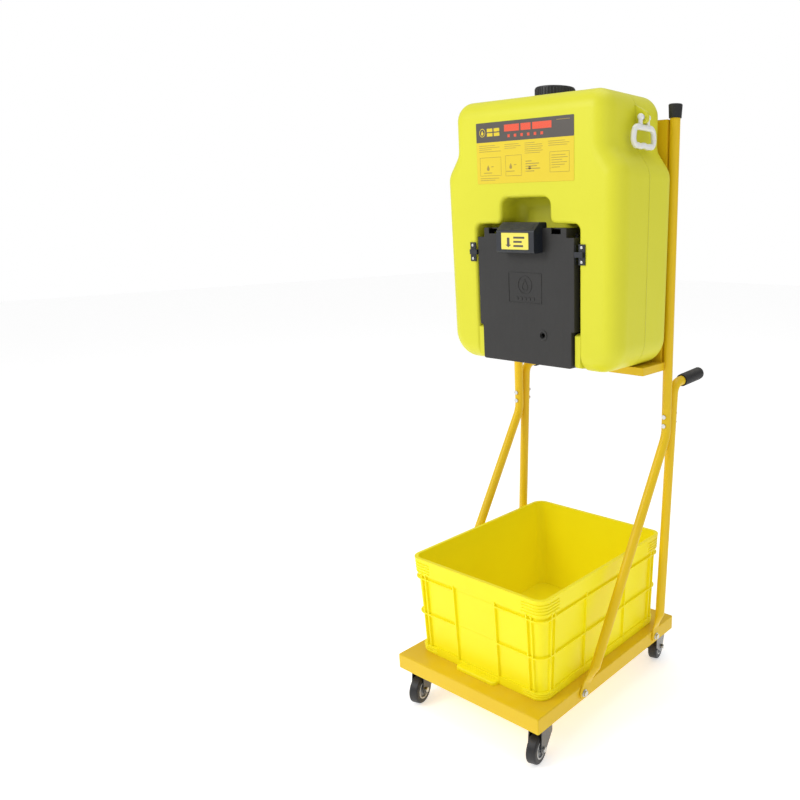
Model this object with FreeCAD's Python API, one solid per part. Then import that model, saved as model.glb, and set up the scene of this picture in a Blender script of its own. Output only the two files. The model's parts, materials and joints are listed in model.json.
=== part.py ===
"""Mobile gravity-fed emergency eyewash station.

A portable water tank with a drop-down nozzle tray stands in a steel bracket on a
two-post trolley. A catch bin stands on the trolley's deck, over four swivel casters.

Units are millimetres. X is the width, +Y points to the back, +Z is up. The parts are
modelled about the deck's centre on the floor, and the finished assembly is moved along
Y so that the origin lies under the middle of its bounding box.
"""
import FreeCAD
import Part
import os
from math import atan2, cos, degrees, hypot, pi, radians, sin, sqrt, tan

V = FreeCAD.Vector
X_AXIS, Y_AXIS, Z_AXIS = V(1, 0, 0), V(0, 1, 0), V(0, 0, 1)
SIDES = (("left", -1), ("right", 1))

# ---------------------------------------------------------------- driving dimensions
# Deck
deck_w, deck_d, deck_top = 480.0, 612.0, 140.0
deck_flange, deck_sheet, deck_edge_r = 40.0, 2.0, 3.0
channel_w, channel_sheet = 70.0, 2.0
seat_gap = 0.3                      # air left between a loose part and its seat

# Casters
wheel_d, wheel_w, hub_d = 75.0, 26.0, 50.0
caster_h, caster_trail = 103.0, 28.0
plate_x, plate_y, plate_t = 64.0, 60.0, 2.5
caster_edge_x = 36.0                # kingpin to the deck's side edge
caster_edge_front, caster_edge_rear = 56.0, 46.0
race_r, race_h = 24.0, 8.5
yoke_t, yoke_inner = 2.5, 31.0
axle_r, axle_clear = 4.0, 0.08
plate_bolt_r = 3.0
kingpin_r, swivel_clear = 5.0, 0.08
rest_swivel = {"front_left": 17.0, "front_right": 14.0, "rear_left": 191.0, "rear_right": 194.0}
pedal_pivot_y, pedal_pivot_z, pedal_pin_r = -50.0, 76.0, 3.0

# Tube frame
tube_d, tube_wall = 25.0, 1.5
tube_x = deck_w / 2 + tube_d / 2 + 0.5
upright_y, upright_top = 215.0, 1505.0
upright_bend_z, upright_bend_r = 706.0, 70.0
foot_z, brace_foot_y, post_foot_y = 121.0, -133.0, 206.0
foot_t, foot_w, foot_flat_len, foot_taper_len = 5.0, 31.0, 26.0, 42.0
post_gap = 0.4                      # between the upright and the post behind it
grip_z, grip_end_y, grip_rise = 838.0, 386.0, 8.0
grip_bend_r, grip_d, grip_len, grip_web = 30.0, 33.0, 98.0, 3.0
cap_d_low, cap_d_high, cap_h, cap_cover = 30.0, 33.5, 31.0, 25.0
foot_bolt_r, joint_bolt_r, hole_clear = 4.0, 3.0, 0.2
joint_bolt_zs = (733.0, 757.0)
rivet_r, rivet_zs = 2.4, (940.0, 1110.0, 1280.0, 1450.0)

# Bracket behind and under the tank
panel_sheet, panel_return, panel_top = 2.0, 24.0, 1477.0
panel_lip = 12.0
shelf_w, shelf_front_y, shelf_flange = 500.0, 100.0, 20.0

# Tank
tank_w, tank_w_low, tank_neck_w = 540.0, 530.0, 466.0
tank_d, tank_h, tank_wall = 240.0, 625.0, 4.0
tank_low_r, tank_top_r, tank_side_r = 68.0, 46.0, 42.0
shoulder_low, shoulder_high, shoulder_r = 456.0, 506.0, 50.0
tank_rear_gap = 0.4
recess_w, recess_top, recess_d, recess_r = 320.0, 340.0, 75.0, 16.0
step_w, step_top, step_r = 150.0, 400.0, 20.0
recess_deep_r, recess_rim_r, pocket_deep_r = 24.0, 9.0, 10.0
pocket_w, pocket_low, pocket_high, pocket_d = 286.0, 162.0, 282.0, 34.0
boss_w, boss_r = 14.0, 30.0
neck_r, neck_h, neck_bore = 40.0, 16.0, 35.0
neck_foot_r, neck_foot_clear = 38.0, 0.1

# Nozzle tray, closed, measured on the tank
hinge_up, hinge_in = 60.0, 20.0     # above the tank's bottom, behind its front face
tray_w, tray_low_w, tray_top, tray_low = 300.0, 282.0, 331.0, 7.0
tray_proud, tray_t, tray_wall = 5.0, 67.0, 3.0
tray_split = 30.0                   # front face to the seam, behind the tank's face
tray_corner, tray_narrow = 22.0, 34.0
hinge_pin_r, pin_clear = 5.0, 0.08
nozzle_x, nozzle_up, nozzle_tilt, nozzle_len = 88.0, 230.0, 35.0, 44.0
head_r, head_t = 20.0, 6.0
feed_d, feed_bore = 14.0, 10.0
drain_x, drain_up, drain_r = 55.0, 80.0, 8.0
handle_w, handle_low, handle_high, handle_out = 116.0, 273.0, 344.0, 32.0
latch_up, latch_h = 272.0, 46.0

# Cap and carrying rings
screw_cap_r, screw_cap_h, screw_ribs = 49.0, 26.0, 40
thread_room, vent_r = 5.2, 5.0
ring_out, ring_up, ring_bar_r = 19.0, 568.0, 5.5
ring_w, ring_drop, ring_loop_h, horn_out, lug_t = 92.0, 62.0, 40.0, 14.0, 12.0

# Label plates
label_w, label_h, label_t, label_drop = 295.0, 138.0, 0.4, 54.0
pull_w, pull_h = 84.0, 38.0

# Catch bin
bin_w, bin_d, bin_h = 444.0, 526.0, 270.0
bin_draft, bin_wall, bin_r = 11.0, 3.0, 26.0
rim_band, rim_out, lip_h, lip_out = 45.0, 6.0, 8.0, 3.0
rib_t, rib_out = 3.0, 7.0
bin_panel_w = 136.0

# ---------------------------------------------------------------- places that follow
deck_under = deck_top - deck_sheet
flange_low = deck_top - deck_flange
caster_x = deck_w / 2 - caster_edge_x
caster_rows = (("front", caster_edge_front - deck_d / 2), ("rear", deck_d / 2 - caster_edge_rear))
wheel_r = wheel_d / 2
panel_back = upright_y - tube_d / 2 - 0.1
panel_front = panel_back - panel_sheet
panel_half = tube_x - tube_d / 2 - 0.1
tank_back = panel_front - tank_rear_gap
tank_front = tank_back - tank_d
tank_low = 900.0
tank_top = tank_low + tank_h
shelf_top = tank_low - seat_gap
shelf_low = shelf_top - shelf_flange
floor_y = tank_front + recess_d
hinge_y, hinge_z = tank_front + hinge_in, tank_low + hinge_up
tray_front = tank_front - tray_proud
tray_back = tray_front + tray_t
seam_y = tank_front + tray_split
knuckle_r = tray_back - hinge_y
tray_top_z, tray_low_z = tank_low + tray_top, tank_low + tray_low
pool_floor = tray_back - 20.0
nozzle_z = tank_low + nozzle_up
lug_x = tank_neck_w / 2 + ring_out
lug_y = (tank_front + tank_back) / 2
lug_z = tank_low + ring_up
cap_y = lug_y
bin_low = deck_top + seat_gap
post_slope = (upright_y + tube_d + post_gap - post_foot_y) / (upright_bend_z - foot_z)

parts = {}


# ---------------------------------------------------------------- shape helpers
def block(x0, x1, y0, y1, z0, z1):
    """A box between two corners."""
    return Part.makeBox(x1 - x0, y1 - y0, z1 - z0, V(x0, y0, z0))


def rod(r, start, end):
    """A round bar from start to end."""
    a, b = V(*start), V(*end)
    return Part.makeCylinder(r, (b - a).Length, a, b - a)


def ring_of(r_out, r_in, start, end):
    """A round bush from start to end."""
    return rod(r_out, start, end).cut(rod(r_in, start, end))


def hex_bar(across, start, end):
    """A hexagonal bar, across flats, from start to end."""
    a, b = V(*start), V(*end)
    r = across / sqrt(3)
    pts = [V(r * cos(pi / 3 * k), r * sin(pi / 3 * k), 0) for k in range(7)]
    bar = Part.Face(Part.makePolygon(pts)).extrude(V(0, 0, (b - a).Length))
    bar.Placement = FreeCAD.Placement(a, FreeCAD.Rotation(Z_AXIS, b - a))
    return bar


def rounded_wire(corners, to_point):
    """A closed wire through corners (u, v, radius), with an arc of that radius at each."""
    n = len(corners)
    cuts = []
    for k in range(n):
        u, v, r = corners[k]
        here = V(u, v, 0)
        back = V(*corners[k - 1][:2], 0) - here
        ahead = V(*corners[(k + 1) % n][:2], 0) - here
        back.normalize()
        ahead.normalize()
        if r <= 0:
            cuts.append((here, None, here))
            continue
        half = back.getAngle(ahead) / 2
        reach = r / tan(half)
        to_centre = (back + ahead).normalize() * (r / sin(half))
        mid = here + to_centre - (to_centre * (1 / to_centre.Length)) * r
        cuts.append((here + back * reach, mid, here + ahead * reach))
    edges = []
    for k in range(n):
        start, mid, end = cuts[k]
        if mid is not None:
            edges.append(Part.Arc(*[to_point(p.x, p.y) for p in (start, mid, end)]).toShape())
        leave, arrive = to_point(end.x, end.y), to_point(cuts[(k + 1) % n][0].x, cuts[(k + 1) % n][0].y)
        if leave.distanceToPoint(arrive) > 1e-6:
            edges.append(Part.makeLine(leave, arrive))
    return Part.Wire(edges)


def front_shape(corners, y0, y1):
    """Extrudes an outline of (x, z, radius) corners from y0 to y1."""
    wire = rounded_wire(corners, lambda u, v: V(u, y0, v))
    return Part.Face(wire).extrude(V(0, y1 - y0, 0))


def side_shape(corners, x0, x1):
    """Extrudes an outline of (y, z, radius) corners from x0 to x1."""
    wire = rounded_wire(corners, lambda u, v: V(x0, u, v))
    return Part.Face(wire).extrude(V(x1 - x0, 0, 0))


def plan_shape(half_x, half_y, r, z0, z1, y_mid=0.0):
    """A rounded rectangle seen from above, from z0 to z1."""
    pts = [(-half_x, y_mid - half_y, r), (half_x, y_mid - half_y, r),
           (half_x, y_mid + half_y, r), (-half_x, y_mid + half_y, r)]
    return Part.Face(rounded_wire(pts, lambda u, v: V(u, v, z0))).extrude(V(0, 0, z1 - z0))


def path_wire(points, radii):
    """An open path of straight runs joined by tangent arcs at the inner points."""
    pts = [V(*p) for p in points]
    edges, at = [], pts[0]
    for k in range(1, len(pts) - 1):
        back = (pts[k - 1] - pts[k]).normalize()
        ahead = (pts[k + 1] - pts[k]).normalize()
        half = back.getAngle(ahead) / 2
        r = radii[k - 1]
        reach = r / tan(half)
        start, end = pts[k] + back * reach, pts[k] + ahead * reach
        bis = (back + ahead).normalize()
        mid = pts[k] + bis * (r / sin(half) - r)
        if at.distanceToPoint(start) > 1e-6:
            edges.append(Part.makeLine(at, start))
        edges.append(Part.Arc(start, mid, end).toShape())
        at = end
    edges.append(Part.makeLine(at, pts[-1]))
    return Part.Wire(edges)


def sweep(r, points, radii):
    """A round bar of radius r along a path."""
    path = path_wire(points, radii)
    away = V(*points[1]) - V(*points[0])
    section = Part.Wire(Part.makeCircle(r, V(*points[0]), away))
    return path.makePipeShell([section], True, False)


def edges_at(shape, test):
    """The edges whose every sampled point passes test."""
    found = []
    for e in shape.Edges:
        first, last = e.ParameterRange
        points = [e.valueAt(first + (last - first) * t) for t in (0.0, 0.5, 1.0)]
        if all(test(p) for p in points):
            found.append(e)
    return found


def mirrored(shape):
    """The same shape on the other side of X = 0."""
    return shape.mirror(V(0, 0, 0), X_AXIS)


def on_side(shape, side):
    """A right-hand shape, mirrored when side is -1."""
    return shape if side > 0 else mirrored(shape)


def group(shapes):
    """Separate solids kept in one node."""
    return Part.makeCompound([s for shape in shapes for s in shape.Solids])


# ---------------------------------------------------------------- deck
def make_deck():
    """The folded deck, its two caster channels and their holes."""
    outer = block(-deck_w / 2, deck_w / 2, -deck_d / 2, deck_d / 2, flange_low, deck_top)
    soft = edges_at(outer, lambda p: p.z > deck_top - 1e-3)
    soft += [e for e in outer.Edges if abs(e.tangentAt(e.FirstParameter).z) > 0.9]
    outer = outer.makeFillet(deck_edge_r, soft)
    hollow = block(-deck_w / 2 + deck_sheet, deck_w / 2 - deck_sheet,
                   -deck_d / 2 + deck_sheet, deck_d / 2 - deck_sheet, flange_low - 1, deck_under)
    deck = outer.cut(hollow)
    for y in (brace_foot_y, post_foot_y):
        deck = deck.cut(rod(foot_bolt_r + hole_clear, (-deck_w, y, foot_z), (deck_w, y, foot_z)))
    parts["platform_deck"] = deck

    web_top = caster_h + channel_sheet
    channels = []
    for _, y in caster_rows:
        half = deck_w / 2 - deck_sheet - 0.1
        bar = block(-half, half, y - channel_w / 2, y + channel_w / 2, caster_h, deck_under - 0.1)
        bar = bar.cut(block(-half - 1, half + 1, y - channel_w / 2 + channel_sheet,
                            y + channel_w / 2 - channel_sheet, web_top, deck_top))
        for x, yy in plate_bolt_places():
            if abs(yy - y) < channel_w / 2:
                bar = bar.cut(rod(plate_bolt_r + hole_clear, (x, yy, caster_h - 1), (x, yy, web_top + 1)))
        for foot_y in (brace_foot_y, post_foot_y):
            bar = bar.cut(rod(foot_bolt_r * 2.2, (-deck_w, foot_y, foot_z), (deck_w, foot_y, foot_z)))
        channels.append(bar)
    parts["deck_channels"] = group(channels)


# ---------------------------------------------------------------- casters
def caster_places():
    """Name, x and y of each kingpin."""
    return [(f"{row}_{col}", side * caster_x, y) for row, y in caster_rows for col, side in SIDES]


def plate_bolt_places():
    """The bolt places on the caster plates."""
    dx, dy = plate_x / 2 - 9, plate_y / 2 - 8
    return [(x + a * dx, y + b * dy) for _, x, y in caster_places() for a in (-1, 1) for b in (-1, 1)]


def make_caster_plates():
    """Fixed plates with their upper races, and the bolts that hold them."""
    plates, bolts = [], []
    for _, x, y in caster_places():
        plate = plan_shape(plate_x / 2, plate_y / 2, 6, caster_h - plate_t, caster_h)
        plate.translate(V(x, y, 0))
        race = rod(race_r, (x, y, caster_h - plate_t - race_h), (x, y, caster_h - plate_t))
        bore = rod(kingpin_r + swivel_clear, (x, y, caster_h - 30), (x, y, caster_h + 1))
        plates.append(plate.fuse(race).cut(bore))
    for x, y in plate_bolt_places():
        hole = rod(plate_bolt_r + hole_clear, (x, y, caster_h - plate_t - 1), (x, y, caster_h + 1))
        plates = [p.cut(hole) for p in plates]
        under, over = caster_h - plate_t, caster_h + channel_sheet
        bolt = rod(plate_bolt_r, (x, y, under - 0.5), (x, y, over + 8))
        bolts.append(bolt.fuse(rod(5.5, (x, y, under - 3.4), (x, y, under - 0.05))))
        nut = hex_bar(10, (x, y, over + 0.05), (x, y, over + 5))
        bolts.append(nut.cut(rod(plate_bolt_r + 0.02, (x, y, over), (x, y, over + 6))))
    parts["caster_plates"] = group(plates)
    parts["caster_plate_bolts"] = group(bolts)


def place_caster(shape, name, x, y):
    """Turns a caster part to its resting swivel angle and sets it under the deck."""
    moved = shape.copy()
    moved.rotate(V(0, 0, 0), Z_AXIS, rest_swivel[name])
    moved.translate(V(x, y, 0))
    return moved


def make_yoke(braked):
    """The swivel yoke about its kingpin at the origin; the wheel trails towards -Y."""
    crown_top = caster_h - plate_t - race_h - seat_gap
    crown_low = crown_top - yoke_t
    half = yoke_inner / 2
    crown = rod(race_r + 3, (0, 0, crown_low), (0, 0, crown_top))
    crown = crown.fuse(block(-half - yoke_t, half + yoke_t, -race_r, race_r - 4, crown_low, crown_top))
    outer_edge = [(-race_r - 10, crown_top, 8)]
    if braked:
        outer_edge = [(pedal_pivot_y - 6, crown_top, 6), (pedal_pivot_y - 8, pedal_pivot_z - 8, 5)]
    corners = [(race_r - 4, crown_top, 3)] + outer_edge + [
        (-caster_trail - 14, wheel_r + 4, 10), (-caster_trail - 8, wheel_r - 13, 8),
        (-caster_trail + 10, wheel_r - 13, 9), (race_r - 2, wheel_r + 20, 7)]
    y, z = -caster_trail, wheel_r
    legs = []
    for _, side in SIDES:
        x0, x1 = sorted((side * half, side * (half + yoke_t)))
        leg = side_shape(corners, x0, x1)
        leg = leg.cut(rod(axle_r + hole_clear, (x0 - 1, y, z), (x1 + 1, y, z)))
        if braked:
            leg = leg.cut(rod(pedal_pin_r + 0.08, (x0 - 1, pedal_pivot_y, pedal_pivot_z),
                              (x1 + 1, pedal_pivot_y, pedal_pivot_z)))
        legs.append(leg)
    yoke = crown.fuse(legs)
    yoke = yoke.cut(rod(kingpin_r + 0.05, (0, 0, crown_low - 1), (0, 0, crown_top + 1)))
    kingpin = rod(kingpin_r, (0, 0, crown_low - 0.1), (0, 0, caster_h - 0.5))
    kingpin = kingpin.fuse(rod(9.0, (0, 0, crown_low - 3.5), (0, 0, crown_low - 0.1)))
    return group([yoke, kingpin])


def make_axle():
    """The axle bolt with its head and nut, about the wheel's centre."""
    reach = yoke_inner / 2 + yoke_t
    y, z = -caster_trail, wheel_r
    bolt = rod(axle_r, (-reach - 6, y, z), (reach + 0.1, y, z))
    head = hex_bar(12, (reach + 0.1, y, z), (reach + 5, y, z))
    nut = hex_bar(12, (-reach - 5.5, y, z), (-reach - 0.1, y, z)).cut(
        rod(axle_r + 0.02, (-reach - 7, y, z), (-reach, y, z)))
    return group([bolt.fuse(head), nut])


def make_tyre():
    """A crowned tread ring."""
    w, y, z = wheel_w / 2, -caster_trail, wheel_r
    tyre = ring_of(wheel_r, hub_d / 2, (-w, y, z), (w, y, z))
    shoulders = edges_at(tyre, lambda p: abs(hypot(p.y - y, p.z - z) - wheel_r) < 1e-3 and abs(abs(p.x) - w) < 1e-3)
    return tyre.makeFillet(5.0, shoulders)


def make_hub():
    """The wheel's core, dished on both faces, with a plain bore."""
    w, y, z = wheel_w / 2 - 0.5, -caster_trail, wheel_r
    hub = rod(hub_d / 2 - 0.05, (-w, y, z), (w, y, z))
    for a, b in ((w - 4, w + 1), (-w - 1, -w + 4)):
        hub = hub.cut(ring_of(hub_d / 2 - 4, 10, (a, y, z), (b, y, z)))
    sleeve = rod(7.5, (-yoke_inner / 2 + 0.4, y, z), (yoke_inner / 2 - 0.4, y, z))
    hub = hub.fuse(sleeve)
    return hub.cut(rod(axle_r + axle_clear, (-w - 9, y, z), (w + 9, y, z)))


def make_pedal():
    """The brake lever on its pin between the yoke's legs, behind the wheel."""
    y, z, half = pedal_pivot_y, pedal_pivot_z, wheel_w / 2
    reach = yoke_inner / 2 + yoke_t + 1.5
    pin = rod(pedal_pin_r, (-reach, y, z), (reach, y, z))
    barrel = rod(5.0, (-half, y, z), (half, y, z))
    arm = side_shape([(y + 1, z + 4.8, 1), (y - 10, z + 4.8, 4), (y - 33, z - 13, 3), (y - 40, z - 14, 1.2),
                      (y - 40, z - 17, 1.2), (y - 32, z - 16.5, 3), (y - 9, z + 1, 4), (y + 1, z - 2, 1)], -half, half)
    return pin.fuse([barrel, arm])


def make_casters():
    """Four swivel casters; the rear pair carries brake levers."""
    for name, x, y in caster_places():
        braked = name.startswith("rear")
        parts[f"caster_yoke_{name}"] = place_caster(make_yoke(braked), name, x, y)
        parts[f"caster_axle_{name}"] = place_caster(make_axle(), name, x, y)
        parts[f"caster_tyre_{name}"] = place_caster(make_tyre(), name, x, y)
        parts[f"caster_hub_{name}"] = place_caster(make_hub(), name, x, y)
        if braked:
            parts[f"brake_pedal_{name}"] = place_caster(make_pedal(), name, x, y)


# ---------------------------------------------------------------- tube frame
def flat_foot(bolt_y, toward):
    """The pressed tube end at a foot bolt; toward is the unit (y, z) up the tube."""
    uy, uz = toward
    x_mid = deck_w / 2 + 0.2 + foot_t / 2
    along = V(0, uy, uz)
    across = V(0, -uz, uy)
    at = V(x_mid, bolt_y, foot_z)
    half_w, half_t = foot_w / 2, foot_t / 2

    def pressed(centre):
        turned = [(half_t - 0.01, 1), (-half_t + 0.01, 1), (-half_t + 0.01, -1), (half_t - 0.01, -1)]
        corners = [(t, s * half_w, half_t - 0.3) for t, s in turned]
        return rounded_wire(corners, lambda u, v: centre + X_AXIS * u + across * v)

    low = at - along * (foot_w / 2)
    high = at + along * foot_flat_len
    tab = Part.Face(pressed(low)).extrude(high - low)
    round_end = rod(foot_w / 2, (x_mid - foot_t, bolt_y, foot_z), (x_mid + foot_t, bolt_y, foot_z))
    keep = round_end.fuse(Part.Face(rounded_wire(
        [(-foot_t, -foot_w, 0), (foot_t, -foot_w, 0), (foot_t, foot_w, 0), (-foot_t, foot_w, 0)],
        lambda u, v: at + X_AXIS * u + across * v)).extrude(along * (foot_flat_len + 5)))
    tab = tab.common(keep)
    top = V(tube_x, bolt_y, foot_z) + along * (foot_flat_len + foot_taper_len)
    circle = Part.Wire(Part.makeCircle(tube_d / 2, top, along))
    taper = Part.makeLoft([pressed(high), circle], True, False)
    hole = rod(foot_bolt_r + hole_clear, (deck_w / 2 - 5, bolt_y, foot_z), (tube_x + tube_d, bolt_y, foot_z))
    return tab.fuse(taper).cut(hole), (top.x, top.y, top.z)


def hollow_tube(points, radii):
    """A tube of the frame's section along a path."""
    outer = sweep(tube_d / 2, points, radii)
    inner = sweep(tube_d / 2 - tube_wall, points, radii)
    return outer.cut(inner)


def joint_bolt_holes():
    """The bores of the bolts that join each upright to the post behind it."""
    y1 = upright_y + 2.5 * tube_d
    return [rod(joint_bolt_r + hole_clear, (tube_x, upright_y - tube_d, z), (tube_x, y1, z)) for z in joint_bolt_zs]


def make_frame():
    """Uprights that bend into front braces, rear posts with grips, caps and bolts."""
    run = V(0, upright_y - brace_foot_y, upright_bend_z - foot_z).normalize()
    foot, start = flat_foot(brace_foot_y, (run.y, run.z))
    tube = hollow_tube([start, (tube_x, upright_y, upright_bend_z), (tube_x, upright_y, upright_top)],
                       [upright_bend_r])
    upright = foot.fuse(tube)

    lean = V(0, post_slope, 1).normalize()
    foot, start = flat_foot(post_foot_y, (lean.y, lean.z))
    bend_y = post_foot_y + post_slope * (grip_z - foot_z)
    along = V(0, grip_end_y - bend_y, grip_rise).normalize()
    tip = V(tube_x, grip_end_y, grip_z + grip_rise)
    tube_end = tip - along * grip_web
    tube = hollow_tube([start, (tube_x, bend_y, grip_z), (tube_x, tube_end.y, tube_end.z)], [grip_bend_r])
    post = foot.fuse(tube)
    for hole in joint_bolt_holes():
        upright = upright.cut(hole)
        post = post.cut(hole)
    for z in rivet_zs:
        upright = upright.cut(rod(rivet_r + 0.1, (panel_half - 5, upright_y, z), (tube_x, upright_y, z)))

    low, high = upright_top - cap_cover, upright_top + cap_h - cap_cover
    cap = Part.makeCone(cap_d_low / 2, cap_d_high / 2, cap_h, V(tube_x, upright_y, low))
    cap = cap.makeFillet(3.0, edges_at(cap, lambda p: p.z > high - 1e-3))
    cap = cap.cut(rod(tube_d / 2 + 0.1, (tube_x, upright_y, low - 1), (tube_x, upright_y, upright_top + 0.1)))

    heel = tip - along * grip_len
    grip = Part.makeCylinder(grip_d / 2, grip_len, heel, along)
    ends = edges_at(grip, lambda p: (p - tip).dot(along) > -1e-3)
    grip = grip.makeFillet(7.0, ends)
    heel_edge = edges_at(grip, lambda p: abs((p - heel).dot(along)) < 1e-3)
    grip = grip.makeFillet(1.5, heel_edge)
    bore_end = tip - along * (grip_web - 0.3)
    grip = grip.cut(Part.makeCylinder(tube_d / 2 + 0.1, grip_len, bore_end - along * grip_len, along))

    for name, side in SIDES:
        parts[f"upright_{name}"] = on_side(upright, side)
        parts[f"rear_post_{name}"] = on_side(post, side)
        parts[f"upright_cap_{name}"] = on_side(cap, side)
        parts[f"handle_grip_{name}"] = on_side(grip, side)
    make_frame_bolts()


def make_frame_bolts():
    """Foot bolts through the deck's flange, and bolts between upright and post."""
    bolts = []
    out, inner = deck_w / 2 + 0.2 + foot_t, deck_w / 2 - deck_sheet
    for y in (brace_foot_y, post_foot_y):
        shank = rod(foot_bolt_r, (inner - 9, y, foot_z), (out + 1.6, y, foot_z))
        washer = rod(9.5, (out + 0.05, y, foot_z), (out + 1.6, y, foot_z))
        head = hex_bar(13, (out + 1.6, y, foot_z), (out + 6.8, y, foot_z))
        nut = hex_bar(13, (inner - 7.5, y, foot_z), (inner - 0.1, y, foot_z))
        nut = nut.cut(rod(foot_bolt_r + 0.02, (inner - 8, y, foot_z), (inner, y, foot_z)))
        bolts += [shank.fuse([washer, head]), nut]
    for z in joint_bolt_zs:
        y0 = upright_y - tube_d / 2 - 0.1
        y1 = post_foot_y + post_slope * (z - foot_z) + tube_d / 2 + 1.0
        shank = rod(joint_bolt_r, (tube_x, y0 - 0.5, z), (tube_x, y1 + 6, z))
        head = rod(6.0, (tube_x, y0 - 3.2, z), (tube_x, y0, z))
        nut = hex_bar(10, (tube_x, y1, z), (tube_x, y1 + 5, z))
        nut = nut.cut(rod(joint_bolt_r + 0.02, (tube_x, y1 - 1, z), (tube_x, y1 + 6, z)))
        bolts += [shank.fuse(head), nut]
    inside = panel_half - panel_sheet - 0.05
    for z in rivet_zs:
        shank = rod(rivet_r, (inside, upright_y, z), (tube_x - tube_d / 2 + tube_wall + 2, upright_y, z))
        bolts.append(shank.fuse(rod(4.8, (inside - 1.8, upright_y, z), (inside, upright_y, z))))
    parts["frame_bolts"] = group(bolts + [mirrored(b) for b in bolts])


# ---------------------------------------------------------------- bracket
def make_bracket():
    """The back panel between the uprights and the shelf under the tank."""
    low = shelf_low
    outer = block(-panel_half, panel_half, panel_front, panel_front + panel_return, low, panel_top)
    s = panel_sheet
    inner = block(-panel_half + s, panel_half - s, panel_back, panel_front + panel_return + 1,
                  low + s, panel_top - s)
    trim = block(-panel_half + s, panel_half - s, panel_front + panel_lip, panel_front + panel_return + 1,
                 low - 1, panel_top + 1)
    panel = outer.cut(inner).cut(trim)
    for z in rivet_zs:
        panel = panel.cut(rod(rivet_r + 0.1, (-panel_half - 1, upright_y, z), (panel_half + 1, upright_y, z)))
    parts["back_panel"] = panel

    half = shelf_w / 2
    outer = block(-half, half, shelf_front_y, panel_front - 0.1, shelf_low, shelf_top)
    outer = outer.makeFillet(2.5, [e for e in outer.Edges if abs(e.tangentAt(e.FirstParameter).z) > 0.9
                                   and e.CenterOfMass.y < shelf_front_y + 1])
    inner = block(-half + s, half - s, shelf_front_y + s, panel_front + 1, shelf_low - 1, shelf_top - s)
    parts["tank_shelf"] = outer.cut(inner)


# ---------------------------------------------------------------- tank
def tank_outline(inset):
    """The tank seen from the front, taken in by inset on every side."""
    w, low_w, neck = tank_w / 2 - inset, tank_w_low / 2 - inset, tank_neck_w / 2 - inset
    z0, z3 = tank_low + inset, tank_top - inset
    z1, z2 = tank_low + shoulder_low, tank_low + shoulder_high
    right = [(low_w, z0, tank_low_r - inset), (w, z1, shoulder_r - inset), (neck, z2, shoulder_r - 20 + inset),
             (neck, z3, tank_top_r - inset)]
    left = [(-x, z, r) for x, z, r in reversed(right)]
    return right + left


def recess_outline(grow):
    """The tray's recess seen from the front, open below, grown by grow."""
    w, step = recess_w / 2 + grow, step_w / 2 + grow
    z0, z1, z2 = tank_low - 60, tank_low + recess_top + grow, tank_low + step_top + grow
    right = [(w, z0, 0), (w, z1, recess_r + grow), (step, z1, recess_r), (step, z2, step_r + grow)]
    left = [(-x, z, r) for x, z, r in reversed(right)]
    return right + left


def recess_solid(grow):
    """The space the tray closes into, with the deeper pocket for its nozzles."""
    deep, deeper = floor_y + grow, floor_y + pocket_d + grow
    space = front_shape(recess_outline(grow), tank_front - 60, deep)
    half, r = pocket_w / 2 + grow, 14.0 + grow
    z0, z1 = tank_low + pocket_low - grow, tank_low + pocket_high + grow
    pocket = front_shape([(-half, z0, r), (half, z0, r), (half, z1, r), (-half, z1, r)], tank_front, deeper)
    if grow == 0:
        space = space.makeFillet(recess_deep_r, edges_at(
            space, lambda p: abs(p.y - deep) < 1e-3 and p.z > tank_low - 50))
        pocket = pocket.makeFillet(pocket_deep_r, edges_at(pocket, lambda p: abs(p.y - deeper) < 1e-3))
    return space.fuse(pocket)


def tank_block(inset):
    """The tank's outer form with its long edges rounded, taken in by inset."""
    form = front_shape(tank_outline(inset), tank_front + inset, tank_back - inset)
    for y in (tank_front + inset, tank_back - inset):
        rim = edges_at(form, lambda p, y=y: abs(p.y - y) < 1e-3)
        form = form.makeFillet(tank_side_r - inset, rim)
    return form


def make_lug():
    """The ear that carries a ring, with its hole along Y."""
    root = tank_neck_w / 2 - 3
    corners = [(root, lug_z + 28, 0), (lug_x + 10, lug_z + 10, 5), (lug_x + 10, lug_z - 8, 6), (root, lug_z - 24, 0)]
    lug = front_shape(corners, lug_y - lug_t / 2, lug_y + lug_t / 2)
    return lug.cut(rod(ring_bar_r + pin_clear, (lug_x, lug_y - lug_t, lug_z), (lug_x, lug_y + lug_t, lug_z)))


def make_boss():
    """The moulded block at the recess's side that takes a hinge pin."""
    inner, outer = recess_w / 2 - boss_w, recess_w / 2 + tank_wall / 2
    upper = rod(boss_r, (inner, hinge_y, hinge_z), (outer, hinge_y, hinge_z))
    y0, y1 = tank_front + 3, floor_y + 1
    lower = side_shape([(y0, tank_low + 8, 10), (y1, tank_low + 8, 0), (y1, hinge_z, 0), (y0, hinge_z, 0)], inner, outer)
    upper = upper.common(block(inner - 1, outer + 1, y0, y1, hinge_z - boss_r, hinge_z + boss_r))
    return upper.fuse(lower)


def recess_relief():
    """The raised panels moulded on the recess's floor."""
    y0, y1, z0 = floor_y - 4, floor_y + 1, tank_low
    panels = [front_shape([(-37, z0 + 236, 2), (37, z0 + 236, 2), (37, z0 + 252, 2), (-37, z0 + 252, 2)],
                          y0 + pocket_d, y1 + pocket_d)]
    panels.append(front_shape([(-40, z0 + 126, 2), (40, z0 + 126, 2), (60, z0 + 145, 2), (-60, z0 + 145, 2)], y0, y1))
    wedge = front_shape([(100, z0 + 77, 3), (100, z0 + 153, 3), (38, z0 + 118, 3)], y0, y1)
    return panels + [wedge, mirrored(wedge)]


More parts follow.
